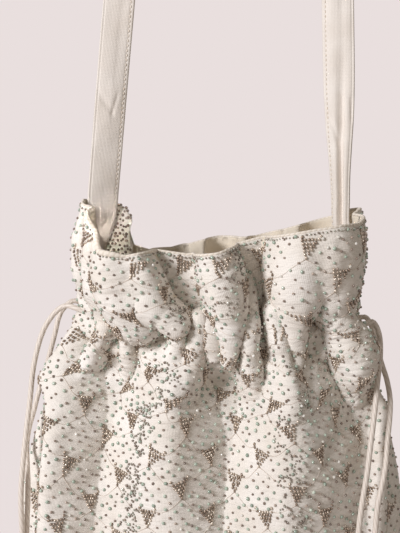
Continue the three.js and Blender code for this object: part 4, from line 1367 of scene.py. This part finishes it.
# Glass or metal beads: every bead takes its own tone, and a clear coat gives it a glint.
def beadMaterial(name, stops, roughness, metallic=0.0, coat=0.5):
    material, tree, shader = newMaterial(name)
    tone = addNode(tree, "Attribute", attribute_name="tone").outputs["Fac"]
    setInputs(tree, shader, {
        "Base Color": addNode(tree, "ValToRGB", {"Fac": tone}, stops=stops).outputs["Color"],
        "Roughness": roughness,
        "Metallic": metallic,
        "Coat Weight": coat,
        "Coat Roughness": 0.08,
    })
    return material


# name, light and dark tone, thread, size and depth of the crinkles, roughness and seed
cotton = wovenCotton(
    "crinkled_ivory_cotton", "#f6f1eb", "#eae2d8", 0.0009, (0.0075, 0.0028), 0.00095, 0.88, 0.3
)
liningCotton = wovenCotton(
    "plain_cream_cotton", "#e9dfcf", "#ded2bf", 0.0008, (0.016, 0.012), 0.00035, 0.9, 1.7
)
strapCotton = wovenCotton(
    "strap_cotton_twill", "#f2ebe4", "#e8dfd6", 0.0009, (0.009, 0.012), 0.00030, 0.86, 2.9
)
# name, colour of the strands' crowns and painted shade of their grooves, strands, pitch, depth and
# roughness
rayon = windingCord("twisted_rayon_cord", "#e3d9cf", "#d2c6bb", 4, 0.0060, 0.00010, 0.5)
binding = windingCord("turned_cotton_edge", "#ede4d8", "#dfd4c5", 1, 0.0031, 0.00012, 0.85)
mintStops = [(0.0, "#92a293"), (0.55, "#aebdad"), (1.0, "#ced8ca")]
brownStops = [(0.0, "#75655a"), (0.6, "#958275"), (1.0, "#b3a294")]
clearStops = [(0.0, "#c9c4b8"), (1.0, "#f3f0ea")]
seedStops = [(0.0, "#7f7063"), (0.5, "#9f9589"), (1.0, "#c4c7bb")]
bronzeStops = [(0.0, "#7d6a59"), (0.5, "#a89683"), (1.0, "#d8ccbc")]
mintGlass = beadMaterial("mint_glass", mintStops, 0.26)
brownGlass = beadMaterial("brown_glass", brownStops, 0.28)
clearGlass = beadMaterial("clear_glass", clearStops, 0.12, coat=0.9)
seedGlass = beadMaterial("bronze_seed_glass", seedStops, 0.26)
bronze = beadMaterial("bronze_lustre_beads", bronzeStops, 0.24, metallic=0.35)
stitchThread = beadMaterial("ivory_thread", [(0.0, "#dccfbf"), (1.0, "#ebe2d6")], 0.75, coat=0.0)
stemThread = beadMaterial("brown_silk", [(0.15, "#b7a696"), (0.60, "#e2d6cb")], 0.6, coat=0.0)
stiffBoard = wovenCotton("grey_board", "#b9b1a4", "#a89f92", 0.0011, (0.008, 0.008), 0.0001, 0.9, 4.1)


# Gives a piece its material and says what it rides on and the nodes that it replaces.
def dress(piece, material, body=None, nodes=()):
    piece.data.materials.clear()
    piece.data.materials.append(material)
    if body:
        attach(piece, body)
    if nodes:
        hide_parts(*nodes)


looks = [bronze, mintGlass, brownGlass, clearGlass, seedGlass, stemThread, stitchThread]
for side, panel in panels.items():
    dress(panel["cloth"], cotton, "bag", [f"outer_{side}_panel"])
    dress(panel["inside"], liningCotton, "bag", [f"lining_{side}_panel"])
    for piece, look in zip(trims[side], looks):
        dress(piece, look, "bag")
dress(baseCloth, cotton, "bag", ["outer_base_panel"])
dress(liningBase, liningCotton, "bag", ["lining_base_panel"])
dress(rimEdge, binding, "bag")
dress(cornerCloth, cotton, "bag")
dress(cornerBeads, brownGlass, "bag")
dress(baseSeam, binding, "bag")
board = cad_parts["base_board"]
board.data.materials.clear()
board.data.materials.append(stiffBoard)

dress(strapCloth, strapCotton, None, ["shoulder_strap", "strap_end_left", "strap_end_right"])
for piece in strapStitches:
    dress(piece, stitchThread)
for piece in (strapCloth, *strapStitches):
    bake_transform(piece)

for side, fixed in cordSet["fixed"].items():
    held = cordPieces[f"{side}_drawstring_held"]
    dress(held, rayon, "bag", [f"drawstring_{side}_in_channel"])
    dress(knots[side], rayon, f"{side}_pull", [f"knot_{side}"])
    for part in ("front", "rear"):
        piece = cordPieces[f"{side}_drawstring_{part}"]
        dress(piece, rayon, None, [f"drawstring_{side}_{part}_end"])
        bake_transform(piece)

# Light: one soft key from the upper left in front, a faint fill from the right, and a small card
# over the mouth that lights its left corner
lightSet = {
    "key": {"place": (-1.115, -1.077, 0.16), "aim": (0, 0, -0.40), "size": 0.45, "power": 23.5,
            "tint": "#fdfcff"},
    "fill": {"place": (1.1, -1.2, 0.25), "aim": (0, 0, -0.40), "size": 1.2, "power": 1.2,
             "tint": "#fdf3ea"},
    "card": {"place": (-0.075, -0.320, -0.225), "aim": (-0.072, 0.004, -0.313), "size": 0.02,
             "power": 0.0022, "tint": "#fff6ee", "spread": 7},
}
worldSet = {"ambient": 0.29, "ambientTint": "#ece1d3", "wall": "#e9dfde"}
floorSet = {"radius": 0.72, "level": -0.9, "colours": [(0.3, "#e4dad8"), (0.7, "#e8dedc")]}


# A square lamp that faces its aim.
def addLamp(name, place, aim, size, power, tint, spread=180):
    lamp = bpy.data.lights.new(name, "AREA")
    lamp.size = size
    lamp.energy = power
    lamp.color = linear(tint)[:3]
    lamp.spread = math.radians(spread)
    light = bpy.data.objects.new(name, lamp)
    light.location = place
    light.rotation_euler = (Vector(aim) - Vector(place)).to_track_quat("-Z", "Y").to_euler()
    bpy.context.scene.collection.objects.link(light)


for name, settings in lightSet.items():
    addLamp(name + "_light", **settings)

# The world: a dim tint that lights the bag, and the wall's colour where a ray that the camera
# sees, or a mirrored or refracted one, meets it
world = bpy.data.worlds.new("studio")
world.use_nodes = True
bpy.context.scene.world = world
tree = world.node_tree
ambient = {"Color": linear(worldSet["ambientTint"]), "Strength": worldSet["ambient"]}
dim = setInputs(tree, tree.nodes["Background"], ambient).outputs[0]
wall = addNode(tree, "Background", {"Color": linear(worldSet["wall"]), "Strength": 1.0}).outputs[0]
rays = addNode(tree, "LightPath").outputs
bounced = {0: rays["Is Glossy Ray"], 1: rays["Is Transmission Ray"]}
mirrored = addNode(tree, "Math", bounced, operation="ADD").outputs[0]
shown = {0: rays["Is Camera Ray"], 1: mirrored}
shown = addNode(tree, "Math", shown, operation="ADD", use_clamp=True).outputs[0]
seen = addNode(tree, "MixShader", {0: shown, 1: dim, 2: wall}).outputs[0]
tree.links.new(seen, tree.nodes["World Output"].inputs["Surface"])

turn = 2 * math.pi * np.arange(64) / 64
radius = floorSet["radius"]
floorPoints = np.stack([radius * np.cos(turn), radius * np.sin(turn), 0 * turn + floorSet["level"]], 1)
floor = addMesh("floor", floorPoints, [np.arange(64)[None]])
paint, tree, shader = newMaterial("floor_paint")
grain = addNode(tree, "TexNoise", {"Scale": 60.0, "Detail": 2.0}).outputs["Fac"]
colour = addNode(tree, "ValToRGB", {"Fac": grain}, stops=floorSet["colours"]).outputs["Color"]
setInputs(tree, shader, {"Base Color": colour, "Roughness": 0.9})
floor.data.materials.append(paint)

bpy.context.scene.view_settings.view_transform = "Standard"
